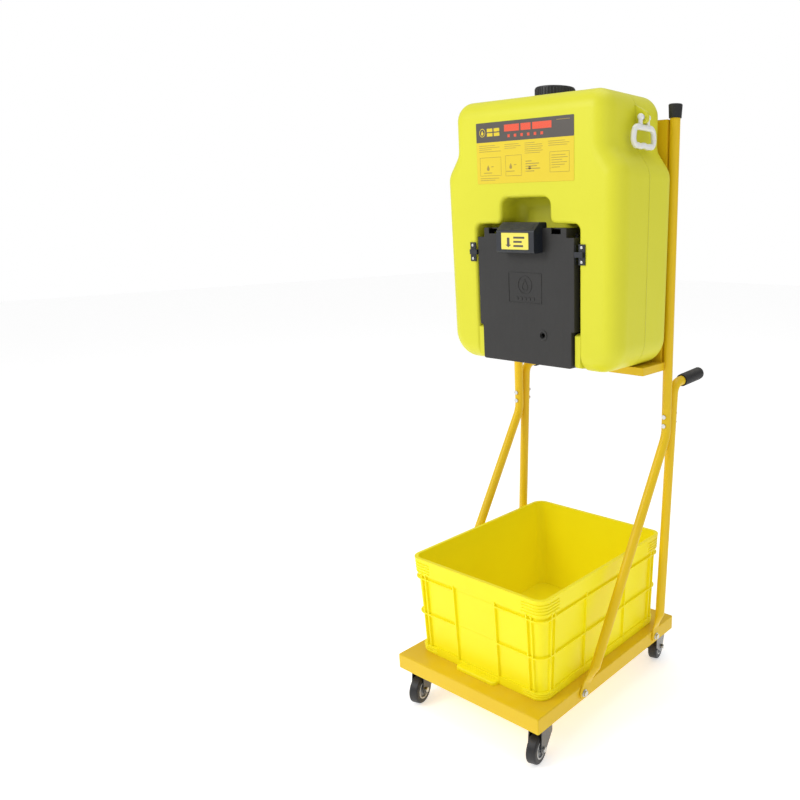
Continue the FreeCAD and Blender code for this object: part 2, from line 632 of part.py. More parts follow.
def make_tank():
    """The blow-moulded tank: one skin round the water, with recess, lugs and bosses, and its neck ring."""
    water = tank_block(tank_wall).cut(recess_solid(tank_wall))
    form = tank_block(0).cut(recess_solid(0))
    rim_half, rim_top = recess_w / 2 + 2, tank_low + step_top + 2
    form = form.makeFillet(recess_rim_r, edges_at(
        form, lambda p: abs(p.y - tank_front) < 1e-3 and abs(p.x) < rim_half and p.z < rim_top))
    neck_hole = rod(neck_foot_r + neck_foot_clear, (0, cap_y, tank_top - tank_wall - 1), (0, cap_y, tank_top + 1))
    shell = form.cut(water.fuse(neck_hole))
    fittings = recess_relief()
    for _, side in SIDES:
        fittings += [on_side(make_lug(), side), on_side(make_boss(), side)]
    shell = shell.fuse(fittings)
    reach = recess_w / 2 - 2
    for _, side in SIDES:
        shell = shell.cut(rod(hinge_pin_r + pin_clear, (side * (reach - 20), hinge_y, hinge_z),
                              (side * reach, hinge_y, hinge_z)))
    shell = shell.cut(rod(10.1, (0, floor_y - 1, hinge_z), (0, floor_y + tank_wall + 1, hinge_z)))
    for x, z in latch_screw_places():
        shell = shell.cut(rod(2.1, (x, tank_front - 1, z), (x, tank_front + 3.2, z)))
    parts["tank_shell"] = shell
    collar = ring_of(neck_r, neck_bore, (0, cap_y, tank_top), (0, cap_y, tank_top + neck_h))
    foot = ring_of(neck_foot_r, neck_bore, (0, cap_y, tank_top - tank_wall), (0, cap_y, tank_top + 1))
    parts["tank_neck"] = collar.fuse(foot)


# ---------------------------------------------------------------- cap
def make_cap():
    """The fill cap with the vent plug in its middle, and its gasket."""
    top = tank_top + neck_h
    parts["cap_gasket"] = ring_of(neck_r - 0.5, neck_bore + 0.5, (0, cap_y, top + 0.3), (0, cap_y, top + 2.5))
    z0, z1 = tank_top + 1.0, tank_top + 1.0 + screw_cap_h
    cap = rod(screw_cap_r - 1.5, (0, cap_y, z0), (0, cap_y, z1))
    cap = cap.makeFillet(3.0, edges_at(cap, lambda p: p.z > z1 - 1e-3))
    ribs = [rod(1.6, (0, 0, 0), (0, 0, screw_cap_h - 4)) for _ in range(screw_ribs)]
    for k, rib in enumerate(ribs):
        turn = 2 * pi * k / screw_ribs
        rib.translate(V((screw_cap_r - 1.7) * cos(turn), cap_y + (screw_cap_r - 1.7) * sin(turn), z0))
    cap = cap.fuse(ribs)
    cap = cap.cut(rod(neck_r + thread_room, (0, cap_y, z0 - 1), (0, cap_y, top + 2.8)))
    cap = cap.cut(rod(vent_r + 0.1, (0, cap_y, top), (0, cap_y, z1 + 1)))
    dish = ring_of(screw_cap_r - 9, 12, (0, cap_y, z1 - 1.5), (0, cap_y, z1 + 1))
    stem = rod(vent_r, (0, cap_y, top + 3.2), (0, cap_y, z1 + 0.1))
    plug = stem.fuse(rod(vent_r + 4, (0, cap_y, z1 + 0.1), (0, cap_y, z1 + 6)))
    plug = plug.makeFillet(2.0, edges_at(plug, lambda p: p.z > z1 + 6 - 1e-3))
    parts["fill_cap"] = group([cap.cut(dish), plug])


# ---------------------------------------------------------------- carrying rings
def make_rings():
    """Moulded carrying rings whose ends clip into the lugs from both sides."""
    x, y, z = lug_x, lug_y, lug_z
    half, low = ring_w / 2, z - ring_drop
    high = low + ring_loop_h
    near = [(1, z), (horn_out, z), (horn_out, high), (half, high), (half, low)]
    points = [(y - a, b) for a, b in near] + [(y + a, b) for a, b in reversed(near)]
    radii = [7, 7, 16, 16, 16, 16, 7, 7]
    ring = sweep(ring_bar_r, [(x, a, b) for a, b in points], radii)
    for name, side in SIDES:
        parts[f"carry_ring_{name}"] = on_side(ring, side)


# ---------------------------------------------------------------- nozzle tray
def tray_outline(inset):
    """The tray seen from the front, taken in by inset."""
    w, low_w, z0 = tray_w / 2 - inset, tray_low_w / 2 - inset, tray_low_z + inset
    z1, z2, z3 = hinge_z + tray_narrow + inset, tray_top_z - tray_corner, tray_top_z - inset
    top_w = tray_w / 2 - tray_corner - inset
    right = [(low_w, z0, 6), (low_w, z1, 2), (w, z1, 3), (w, z2, 3), (top_w, z2, 2), (top_w, z3, 4)]
    left = [(-x, z, r) for x, z, r in reversed(right)]
    return right + left


def make_tray_cover():
    """The tray's outer half: front face, side walls, hinge blocks and valve ribs."""
    back = seam_y
    cover = front_shape(tray_outline(0), tray_front, back)
    face = edges_at(cover, lambda p: abs(p.y - tray_front) < 1e-3)
    cover = cover.makeFillet(1.8, face)
    hollow = front_shape(tray_outline(tray_wall), tray_front + tray_wall, back + 1)
    cover = cover.cut(hollow)
    blocks = []
    for _, side in SIDES:
        x0, x1 = sorted((side * (tray_low_w / 2 - 20), side * (tray_low_w / 2 - 1)))
        blocks.append(block(x0, x1, tray_front + 1, back, hinge_z - 17, hinge_z + 17))
        x0, x1 = sorted((side * 32, side * 38))
        blocks.append(block(x0, x1, tray_front + 1, back, hinge_z - 25, hinge_z + 25))
        for z in screw_zs():
            x = side * screw_x(z)
            blocks.append(rod(5, (x, tray_front + 1, z), (x, back - 0.1, z)))
    cover = cover.fuse(blocks + [rod(13, (drain_x, tray_front - 1.5, drain_z()), (drain_x, tray_front + 1, drain_z()))])
    cover = cover.cut(rod(hinge_pin_r + pin_clear, (-tray_w, hinge_y, hinge_z), (tray_w, hinge_y, hinge_z)))
    cover = cover.cut(rod(9.1, (-40, hinge_y, hinge_z), (40, hinge_y, hinge_z)))
    cover = cover.cut(rod(drain_r, (drain_x, tray_front - 5, drain_z()), (drain_x, back, drain_z())))
    cover = cover.cut(block(-18, 18, hinge_y - 16, back + 5, tray_low_z - 5, hinge_z - 20))
    low_back = tank_front + 26
    cover = cover.cut(block(-tray_w, tray_w, low_back, back + 5, tray_low_z - 5, hinge_z - 41))
    for _, side in SIDES:
        x0, x1 = sorted((side * 84, side * 112))
        cover = cover.cut(block(x0, x1, tray_front - 1, tray_front + 12, tray_top_z - 14, tray_top_z + 1))
        for z in screw_zs():
            x = side * screw_x(z)
            cover = cover.cut(rod(2.1, (x, tray_front + 8, z), (x, back + 1, z)))
    parts["tray_cover"] = cover


def drain_z():
    """Height of the drain port."""
    return tank_low + drain_up


def screw_zs():
    """Heights of the screws that hold the tray's halves together."""
    return (hinge_z + 62, nozzle_z + 58)


def screw_x(_z):
    """Distance of a tray screw from the middle."""
    return tray_w / 2 - 10


def make_tray_basin():
    """The tray's inner half: a shallow pool with a rounded knuckle at the hinge."""
    body = front_shape(tray_outline(0), seam_y + 0.1, tray_back)
    low = hinge_z - sqrt(knuckle_r ** 2 - (seam_y - hinge_y) ** 2)
    away = block(-tray_w, tray_w, seam_y - 5, tray_back + 5, tray_low_z - 5, hinge_z)
    away = away.cut(rod(knuckle_r, (-tray_w, hinge_y, hinge_z), (tray_w, hinge_y, hinge_z)))
    body = body.cut(away)
    rim = edges_at(body, lambda p: abs(p.y - tray_back) < 1e-3 and p.z > hinge_z + 20)
    body = body.makeFillet(2.0, rim)
    half, top = tray_w / 2 - 18, tray_top_z - 16
    pool = front_shape([(-half, hinge_z + 19, 14), (half, hinge_z + 19, 14), (half, top, 14), (-half, top, 14)],
                       pool_floor, tray_back + 1)
    under = front_shape([(-half, hinge_z + 20, 8), (half, hinge_z + 20, 8), (half, top + 6, 8), (-half, top + 6, 8)],
                        seam_y - 1, pool_floor - tray_wall)
    body = body.cut(pool).cut(under)
    body = body.cut(block(-32, 32, seam_y - 1, tray_back + 1, low - 5, hinge_z + 16))
    for _, side in SIDES:
        x = side * nozzle_x
        body = body.cut(rod(6.1, (x, seam_y, nozzle_z), (x, tray_back, nozzle_z)))
        for z in screw_zs():
            x = side * screw_x(z)
            body = body.cut(rod(2.1, (x, seam_y - 1, z), (x, tray_back + 1, z)))
            body = body.cut(rod(4.2, (x, tray_back - 3, z), (x, tray_back + 1, z)))
    body = body.cut(rod(drain_r, (drain_x, seam_y, drain_z()), (drain_x, tray_back + 1, drain_z())))
    parts["tray_basin"] = body


def make_nozzles():
    """Two tilted nozzle cones with perforated heads, and the tubes that feed them."""
    lean = radians(nozzle_tilt)
    axis = V(-sin(lean), cos(lean), 0)
    base = V(nozzle_x, pool_floor, nozzle_z)
    cone = Part.makeCone(34, head_r + 1, nozzle_len + 22, base - axis * 22, axis)
    cone = cone.common(block(0, tray_w, pool_floor + 0.05, tray_back + 60, nozzle_z - 60, nozzle_z + 60))
    spigot = rod(feed_bore / 2 - 0.1, (nozzle_x, pool_floor - 7.5, nozzle_z), (nozzle_x, pool_floor + 1, nozzle_z))
    cone = cone.fuse(spigot)
    cone = cone.cut(rod(3.0, (nozzle_x, seam_y, nozzle_z), (nozzle_x, pool_floor + 8, nozzle_z)))
    cone = cone.cut(Part.makeCylinder(3.0, nozzle_len + 5, base + axis * 4, axis))
    seat = base + axis * nozzle_len
    head = Part.makeCylinder(head_r, head_t, seat + axis * 0.05, axis)
    top_rim = edges_at(head, lambda p: (p - seat).dot(axis) > head_t)
    head = head.makeFillet(2.0, top_rim)
    across = axis.cross(Z_AXIS)
    for count, radius in ((1, 0.0), (6, 6.5), (10, 12.5)):
        for k in range(count):
            turn = 2 * pi * k / count
            spot = seat + across * (radius * cos(turn)) + Z_AXIS * (radius * sin(turn))
            head = head.cut(Part.makeCylinder(1.3, head_t + 2, spot - axis, axis))

    x0, y0 = 46.2, hinge_y
    points = [(x0, y0, hinge_z), (nozzle_x, y0, hinge_z), (nozzle_x, y0, nozzle_z), (nozzle_x, pool_floor - tray_wall - 0.2, nozzle_z)]
    last_r = (pool_floor - tray_wall - y0) * 0.7
    radii = [26.0, last_r]
    feed = sweep(feed_d / 2, points, radii).cut(sweep(feed_bore / 2, points, radii))
    for name, side in SIDES:
        parts[f"nozzle_cone_{name}"] = on_side(cone, side)
        parts[f"spray_head_{name}"] = on_side(head, side)
        parts[f"feed_tube_{name}"] = on_side(feed, side)


def make_valve():
    """The outlet valve on the hinge line: its body on the tank, its spool in the tray."""
    y, z = hinge_y, hinge_z
    barrel = rod(15.0, (-22, y, z), (22, y, z)).fuse(rod(9.9, (0, y, z), (0, floor_y + tank_wall + 10, z)))
    flange = rod(14.0, (0, floor_y - 4, z), (0, floor_y - 0.05, z))
    body = barrel.fuse(flange).cut(rod(9.0 + 0.1, (-30, y, z), (30, y, z)))
    body = body.cut(rod(6.0, (0, y, z), (0, floor_y + tank_wall + 20, z)))
    parts["outlet_valve"] = body
    inner = floor_y + tank_wall
    nut = hex_bar(32, (0, inner + 0.05, z), (0, inner + 7, z)).cut(rod(9.92, (0, inner - 1, z), (0, inner + 8, z)))
    parts["outlet_nut"] = nut
    spool = rod(9.0, (-46, y, z), (46, y, z))
    spool = spool.cut(rod(5.0, (-47, y, z), (47, y, z))).cut(rod(4.0, (0, y - 12, z), (0, y, z)))
    parts["valve_spool"] = spool
    x0, x1 = tray_low_w / 2 - 20, recess_w / 2 - 3
    parts["hinge_pins"] = group([rod(hinge_pin_r, (side * x0, y, z), (side * x1, y, z)) for _, side in SIDES])


def make_handle():
    """The pull handle with a finger hollow below and ribs on its sloping top."""
    half, y1 = handle_w / 2, tray_front - 0.05
    z0, z1 = tank_low + handle_low, tank_low + handle_high
    y_out = tray_front - handle_out
    corners = [(y1, z0 + 2, 1), (y_out + 4, z0, 4), (y_out, z0 + 4, 3), (y_out, z1 - 20, 8), (y_out + 24, z1, 8),
               (y1 + 16, z1, 5), (y1 + 16, tray_top_z + 0.1, 0.5), (y1, tray_top_z + 0.1, 0)]
    handle = side_shape(corners, -half, half)
    ends = edges_at(handle, lambda p: abs(abs(p.x) - half) < 1e-3 and p.y < y_out + 26 and p.z > z0 + 1)
    hollow = side_shape([(y_out + 6, z0 - 1, 0), (y1 - 5, z0 - 1, 0), (y1 - 5, z1 - 28, 5), (y_out + 6, z1 - 28, 5)],
                        -half + 7, half - 7)
    handle = handle.cut(hollow)
    slope = V(0, 24, 20)
    slope.normalize()
    out = V(0, -slope.z, slope.y)
    start = V(0, y_out, z1 - 20) + slope * 8
    count, pitch = 17, 6.0
    for k in range(count):
        x = (k - (count - 1) / 2) * pitch
        groove = Part.makeCylinder(1.2, 16, start + V(x, 0, 0) + out * 0.3, slope)
        handle = handle.cut(groove)
    parts["pull_handle"] = handle
    z_mid = (z0 + z1 - 16) / 2
    parts["pull_plate"] = front_shape([(-pull_w / 2, z_mid - pull_h / 2, 2), (pull_w / 2, z_mid - pull_h / 2, 2),
                                       (pull_w / 2, z_mid + pull_h / 2, 2), (-pull_w / 2, z_mid + pull_h / 2, 2)],
                                      y_out - 0.05 - label_t, y_out - 0.05)


def latch_screw_places():
    """Places of the latch screws on the tank's front face."""
    z = tank_low + latch_up
    return [(side * (recess_w / 2 + 10), z + dz) for _, side in SIDES for dz in (-16, 16)]


def make_latches():
    """Roller catches on the tank's face and the strikes on the tray's sides."""
    z, half = tank_low + latch_up, latch_h / 2
    x0, x1 = recess_w / 2 + 1, recess_w / 2 + 19
    y = tank_front - 0.05
    plate = block(x0, x1, y - 2.4, y, z - half, z + half)
    bar = block(tray_w / 2 + 2.2, x1 - 3, y - 8.4, y - 2.4, z - 6, z + 6)
    catch = plate.fuse(bar)
    strike = block(tray_w / 2 + 0.05, tray_w / 2 + 1.4, tray_front + 4, seam_y + 8, z - 21, z + 21)
    screws = []
    for x, zz in latch_screw_places():
        shank = rod(1.9, (x, tank_front + 3, zz), (x, y - 2.4, zz))
        head = rod(3.9, (x, y - 5.0, zz), (x, y - 2.45, zz))
        head = head.makeFillet(1.8, edges_at(head, lambda p: p.y < y - 4.9))
        screws.append(shank.fuse(head))
        if x > 0:
            catch = catch.cut(rod(2.1, (x, y - 4, zz), (x, y + 1, zz)))
    parts["latch_catches"] = group([catch, mirrored(catch)])
    parts["latch_strikes"] = group([strike, mirrored(strike)])
    parts["latch_screws"] = group(screws)


def make_tray_fittings():
    """The drain bush and the screws that close the tray."""
    z = drain_z()
    parts["drain_bush"] = ring_of(drain_r - 0.1, drain_r - 2.0, (drain_x, tray_front + 1.5, z), (drain_x, pool_floor, z))
    screws = []
    for _, side in SIDES:
        for zz in screw_zs():
            x = side * screw_x(zz)
            shank = rod(1.95, (x, tray_front + 9, zz), (x, tray_back - 2.9, zz))
            screws.append(shank.fuse(rod(4.0, (x, tray_back - 2.9, zz), (x, tray_back - 0.4, zz))))
    parts["tray_screws"] = group(screws)


def make_label():
    """The instruction label on the tank's face."""
    z1 = tank_top - label_drop
    z0, half = z1 - label_h, label_w / 2
    parts["instruction_label"] = front_shape([(-half, z0, 3), (half, z0, 3), (half, z1, 3), (-half, z1, 3)],
                                             tank_front - 0.05 - label_t, tank_front - 0.05)


# ---------------------------------------------------------------- catch bin
def bin_half(z, out=0.0):
    """Half width and half depth of the bin's wall at height z, moved out by out."""
    share = (z - bin_low) / bin_h
    shrink = bin_draft * (1 - share)
    return bin_w / 2 - rim_out - shrink + out, bin_d / 2 - rim_out - shrink + out


def bin_wall_solid(z0, z1, out, r):
    """A solid that follows the bin's drafted wall between two heights."""
    wires = []
    for z in (z0, z1):
        hx, hy = bin_half(z, out)
        corners = [(-hx, -hy, r), (hx, -hy, r), (hx, hy, r), (-hx, hy, r)]
        wires.append(rounded_wire(corners, lambda u, v, z=z: V(u, v, z)))
    return Part.makeLoft(wires, True, True)


def make_bin():
    """The catch bin: a drafted tub with a rim band, ribs and a plain middle panel."""
    z0, z3 = bin_low, bin_low + bin_h
    band_low = z3 - rim_band
    tub = bin_wall_solid(z0, z3, 0, bin_r)
    band = bin_wall_solid(band_low, z3, rim_out - 2, bin_r + 3)
    lip = bin_wall_solid(z3 - lip_h, z3, rim_out, bin_r + 4)
    skirt = bin_wall_solid(z0, z0 + 22, rib_out - 2, bin_r + 4)
    solid = tub.fuse([band, lip, skirt])
    waist = z0 + bin_h * 0.42
    solid = solid.fuse(bin_wall_solid(waist, waist + rib_t, rib_out - 1, bin_r + 4))
    solid = solid.fuse(bin_wall_solid(band_low - 12, band_low - 12 + rib_t, rib_out - 1, bin_r + 4))
    envelope = bin_wall_solid(z0, band_low + 2, rib_out - 1, bin_r + 4)
    fins = []
    for x in bin_rib_xs():
        fins.append(block(x - rib_t / 2, x + rib_t / 2, -bin_d, bin_d, z0, band_low + 2))
    for y in bin_rib_ys():
        fins.append(block(-bin_w, bin_w, y - rib_t / 2, y + rib_t / 2, z0, band_low + 2))
    ribs = [fin.common(envelope) for fin in fins]
    solid = solid.fuse(ribs)
    half, deep = bin_panel_w / 2, bin_half(z0)[1]
    panels = block(-half, half, -bin_d, bin_d, z0 + 16, band_low)
    solid = solid.cut(panels.cut(bin_wall_solid(z0, z3, 0.4, bin_r)))
    for sign in (-1, 1):
        grip = plan_shape(half, 20.0, 12.0, z0, z0 + 9, sign * (deep + 2))
        solid = solid.fuse(grip.makeFillet(3.5, edges_at(grip, lambda p: p.z > z0 + 9 - 1e-3)))
    inner = bin_wall_solid(z0 + bin_wall, z3 + 1, -bin_wall, bin_r - bin_wall)
    parts["waste_bin"] = solid.cut(inner)


def bin_rib_xs():
    """Ribs on the short walls: beside the middle panel, half way, and by the corners."""
    near, far = bin_panel_w / 2 + rib_t / 2, bin_w / 2 - 52
    return [s * x for s in (-1, 1) for x in (near, far, far + 14)]


def bin_rib_ys():
    """Ribs on the long walls."""
    far = bin_d / 2 - 52
    return [s * y for s in (-1, 1) for y in (bin_d / 6, far, far + 14)]


# ---------------------------------------------------------------- assembly
make_deck()
make_caster_plates()
make_casters()
make_frame()
make_bracket()
make_tank()
make_cap()
make_rings()
make_tray_cover()
make_tray_basin()
make_nozzles()
make_valve()
make_handle()
make_latches()
make_tray_fittings()
make_label()
make_bin()

whole = Part.makeCompound(list(parts.values())).optimalBoundingBox(False, False)
y_shift = -(whole.YMin + whole.YMax) / 2

os.makedirs("parts", exist_ok=True)
for part_name, part_shape in parts.items():
    part_shape.translate(V(0, y_shift, 0))
    part_shape.exportStep(f"parts/{part_name}.step")
print(f"{len(parts)} parts, moved {y_shift:.3f} mm along Y")
print("box", [round(v, 2) for v in (whole.XMin, whole.XMax, whole.YMin, whole.YMax, whole.ZMin, whole.ZMax)])
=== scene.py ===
"""Looks for a mobile gravity-fed eyewash: finishes, moulded details, labels, studio and camera."""
import json
import logging
import math
from dataclasses import dataclass, field, replace
from enum import Enum

import bmesh
import bpy
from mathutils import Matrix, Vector
from mathutils.bvhtree import BVHTree


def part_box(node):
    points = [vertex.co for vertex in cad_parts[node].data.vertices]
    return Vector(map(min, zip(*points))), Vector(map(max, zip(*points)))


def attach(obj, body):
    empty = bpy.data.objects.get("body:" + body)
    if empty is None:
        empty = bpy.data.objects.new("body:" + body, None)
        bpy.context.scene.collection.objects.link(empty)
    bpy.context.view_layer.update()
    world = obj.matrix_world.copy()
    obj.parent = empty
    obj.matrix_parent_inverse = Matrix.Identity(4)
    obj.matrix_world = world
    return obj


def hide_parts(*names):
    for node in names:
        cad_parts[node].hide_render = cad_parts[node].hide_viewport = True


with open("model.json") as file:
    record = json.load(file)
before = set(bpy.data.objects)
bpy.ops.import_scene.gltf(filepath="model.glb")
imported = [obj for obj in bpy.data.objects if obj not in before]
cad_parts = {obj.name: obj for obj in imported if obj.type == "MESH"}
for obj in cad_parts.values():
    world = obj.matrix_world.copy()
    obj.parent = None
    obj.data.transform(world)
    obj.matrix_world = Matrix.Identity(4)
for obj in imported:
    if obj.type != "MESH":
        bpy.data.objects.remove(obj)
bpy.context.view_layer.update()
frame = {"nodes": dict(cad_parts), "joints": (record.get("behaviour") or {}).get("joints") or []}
log = logging.getLogger("eyewash")

Colour = tuple[float, float, float]
Point = tuple[float, float, float]
Flat = tuple[float, float]
Tree = bpy.types.NodeTree
Socket = bpy.types.NodeSocket
VECTOR, FLOAT, COLOUR = "NodeSocketVector", "NodeSocketFloat", "NodeSocketColor"
MM = 0.001


class Side(Enum):
    """The two hands of a mirrored piece, by the sign of X."""

    LEFT = -1
    RIGHT = 1

    def node(self, stem: str) -> str:
        """Return the CAD node of this hand."""
        return f"{stem}_{self.name.lower()}"


class Effect(Enum):
    """Surface effects that several finishes share."""

    MOTTLE = "mottle"
    GRAIN = "grain"
    EDGE_WEAR = "edge_wear"
    DUST = "dust"
    SCUFF = "scuff"


# ------------------------------------------------------------------ shared effects
def feed(tree: Tree, socket: Socket, value: object) -> None:
    """Give an input socket its value.

    Args:
        tree: The node tree that the socket is in.
        socket: The input.
        value: Another node's output to link, a colour, or a number.
    """
    if isinstance(value, Socket):
        tree.links.new(value, socket)
    elif isinstance(value, tuple):
        socket.default_value = (*value, 1.0)
    else:
        socket.default_value = value


def over(tree: Tree, under: object, colour: object, mask: Socket) -> Socket:
    """Lay a colour over another through a mask.

    Args:
        tree: The node tree to build in.
        under: The colour below, or its socket.
        colour: The colour on top, or its socket.
        mask: Where the top colour shows.

    Returns:
        The mixed colour's socket.
    """
    mix = tree.nodes.new("ShaderNodeMix")
    mix.data_type = "RGBA"
    for name, value in (("Factor", mask), ("A", under), ("B", colour)):
        feed(tree, mix.inputs[name], value)
    return mix.outputs["Result"]


class EffectShelf:
    """Builds each shared shader effect once and places it in materials."""

    def __init__(self) -> None:
        self._groups: dict[Effect, Tree] = {}
        self._makers = {effect: getattr(self, f"_{effect.value}") for effect in Effect}

    def place(self, tree: Tree, effect: Effect, **values: object) -> bpy.types.Node:
        """Put an effect in a material.

        Args:
            tree: The material's node tree.
            effect: The effect wanted.
            **values: Input names, with underscores for spaces, and their values or source sockets.

        Returns:
            The group node.
        """
        if effect not in self._groups:
            self._groups[effect] = self._makers[effect]()
        node = tree.nodes.new("ShaderNodeGroup")
        node.node_tree = self._groups[effect]
        for name, value in values.items():
            feed(tree, node.inputs[name.replace("_", " ")], value)
        return node

    @staticmethod
    def _start(name: str, inputs: dict[str, str], output: tuple[str, str]) -> tuple:
        """Make an empty group with named sockets.

        Args:
            name: The group's name.
            inputs: Socket names and types.
            output: The one output's name and type.

        Returns:
            The tree, its input node and its output node.
        """
        tree = bpy.data.node_groups.new(name, "ShaderNodeTree")
        for label, kind in inputs.items():
            tree.interface.new_socket(label, in_out="INPUT", socket_type=kind)
        tree.interface.new_socket(output[0], in_out="OUTPUT", socket_type=output[1])
        return tree, tree.nodes.new("NodeGroupInput"), tree.nodes.new("NodeGroupOutput")

    @staticmethod
    def _noise(tree: Tree, vector: object, scale: object, detail: float) -> Socket:
        """Add a noise texture.

        Args:
            tree: The group's tree.
            vector: The coordinates' socket.
            scale: The noise's scale, or its socket.
            detail: How many octaves it has.

        Returns:
            The noise's value.
        """
        noise = tree.nodes.new("ShaderNodeTexNoise")
        noise.inputs["Detail"].default_value = detail
        noise.inputs["Roughness"].default_value = 0.6
        feed(tree, noise.inputs["Vector"], vector)
        feed(tree, noise.inputs["Scale"], scale)
        return noise.outputs[0]

    @staticmethod
    def _ramp(tree: Tree, value: object, low: float, high: float) -> Socket:
        """Stretch a value smoothly and clamp it.

        Args:
            tree: The group's tree.
            value: The value's socket.
            low: What becomes 0.
            high: What becomes 1.

        Returns:
            The stretched value.
        """
        node = tree.nodes.new("ShaderNodeMapRange")
        node.interpolation_type = "SMOOTHSTEP"
        node.inputs["From Min"].default_value = low
        node.inputs["From Max"].default_value = high
        tree.links.new(value, node.inputs["Value"])
        return node.outputs["Result"]

    @staticmethod
    def maths(tree: Tree, kind: str, first: object, second: object) -> Socket:
        """Combine two values with one operation.

        Args:
            tree: The node tree to build in.
            kind: The operation.
            first: A socket or a number.
            second: A socket or a number.

        Returns:
            The result.
        """
        node = tree.nodes.new("ShaderNodeMath")
        node.operation = kind
        for socket, value in zip(node.inputs, (first, second)):
            feed(tree, socket, value)
        return node.outputs[0]

    def _mottle(self) -> Tree:
        """Slow colour drift between two near shades."""
        tree, source, sink = self._start(
            "colour_mottle",
            {"Vector": VECTOR, "Scale": FLOAT, "Amount": FLOAT,
             "Colour": COLOUR, "Shade": COLOUR},
            ("Colour", COLOUR),
        )
        broad = self._noise(tree, source.outputs["Vector"], source.outputs["Scale"], 5.0)
        mask = self.maths(tree, "MULTIPLY", self._ramp(tree, broad, 0.35, 0.75), source.outputs["Amount"])
        mixed = over(tree, source.outputs["Colour"], source.outputs["Shade"], mask)
        tree.links.new(mixed, sink.inputs[0])
        return tree

    def _grain(self) -> Tree:
        """Fine moulded or sprayed texture, as a height."""
        tree, source, sink = self._start(
            "surface_grain", {"Vector": VECTOR, "Scale": FLOAT}, ("Height", FLOAT)
        )
        fine = self._noise(tree, source.outputs["Vector"], source.outputs["Scale"], 3.0)
        wide_scale = self.maths(tree, "MULTIPLY", source.outputs["Scale"], 0.12)
        wide = self._noise(tree, source.outputs["Vector"], wide_scale, 1.0)
        both = self.maths(tree, "ADD", fine, self.maths(tree, "MULTIPLY", wide, 0.8))
        tree.links.new(both, sink.inputs[0])
        return tree

    def _edge_wear(self) -> Tree:
        """A broken line along outer edges, where paint rubs thin or plastic polishes."""
        tree, source, sink = self._start(
            "edge_wear",
            {"Vector": VECTOR, "Scale": FLOAT, "Amount": FLOAT,
             "Width": FLOAT},
            ("Mask", FLOAT),
        )
        bevel = tree.nodes.new("ShaderNodeBevel")
        bevel.samples = 4
        tree.links.new(source.outputs["Width"], bevel.inputs["Radius"])
        geometry = tree.nodes.new("ShaderNodeNewGeometry")
        dot = tree.nodes.new("ShaderNodeVectorMath")
        dot.operation = "DOT_PRODUCT"
        tree.links.new(bevel.outputs[0], dot.inputs[0])
        tree.links.new(geometry.outputs["Normal"], dot.inputs[1])
        turned = self.maths(tree, "SUBTRACT", 1.0, dot.outputs["Value"])
        edge = self._ramp(tree, turned, 0.02, 0.22)
        patches = self._noise(tree, source.outputs["Vector"], source.outputs["Scale"], 6.0)
        broken = self._ramp(tree, patches, 0.42, 0.62)
        worn = self.maths(tree, "MULTIPLY", edge, broken)
        mask = self.maths(tree, "MULTIPLY", worn, source.outputs["Amount"])
        tree.links.new(mask, sink.inputs[0])
        return tree

    def _dust(self) -> Tree:
        """Thin settled dust on faces that look up."""
        tree, source, sink = self._start(
            "settled_dust", {"Vector": VECTOR, "Amount": FLOAT}, ("Mask", FLOAT)
        )
        geometry = tree.nodes.new("ShaderNodeNewGeometry")
        split = tree.nodes.new("ShaderNodeSeparateXYZ")
        tree.links.new(geometry.outputs["Normal"], split.inputs[0])
        facing_up = self._ramp(tree, split.outputs["Z"], 0.45, 1.0)
        patches = self._ramp(tree, self._noise(tree, source.outputs["Vector"], 26.0, 7.0), 0.3, 0.75)
        settled = self.maths(tree, "MULTIPLY", facing_up, patches)
        mask = self.maths(tree, "MULTIPLY", settled, source.outputs["Amount"])
        tree.links.new(mask, sink.inputs[0])
        return tree

    def _scuff(self) -> Tree:
        """Roughness that wanders, with faint handling streaks."""
        tree, source, sink = self._start(
            "handling_scuff",
            {"Vector": VECTOR, "Roughness": FLOAT, "Spread": FLOAT},
            ("Roughness", FLOAT),
        )
        stretch = tree.nodes.new("ShaderNodeMapping")
        stretch.inputs["Scale"].default_value = (6.0, 6.0, 1.0)
        stretch.inputs["Rotation"].default_value = (0.3, 0.2, 0.5)
        tree.links.new(source.outputs["Vector"], stretch.inputs["Vector"])
        streak = self._ramp(tree, self._noise(tree, stretch.outputs[0], 22.0, 8.0), 0.3, 0.7)
        cloud = self._noise(tree, source.outputs["Vector"], 14.0, 4.0)
        mean = self.maths(tree, "MULTIPLY", self.maths(tree, "ADD", streak, cloud), 0.5)
        change = self.maths(tree, "MULTIPLY", self.maths(tree, "SUBTRACT", mean, 0.5), source.outputs["Spread"])
        tree.links.new(self.maths(tree, "ADD", source.outputs["Roughness"], change), sink.inputs[0])
        return tree


EFFECTS = EffectShelf()


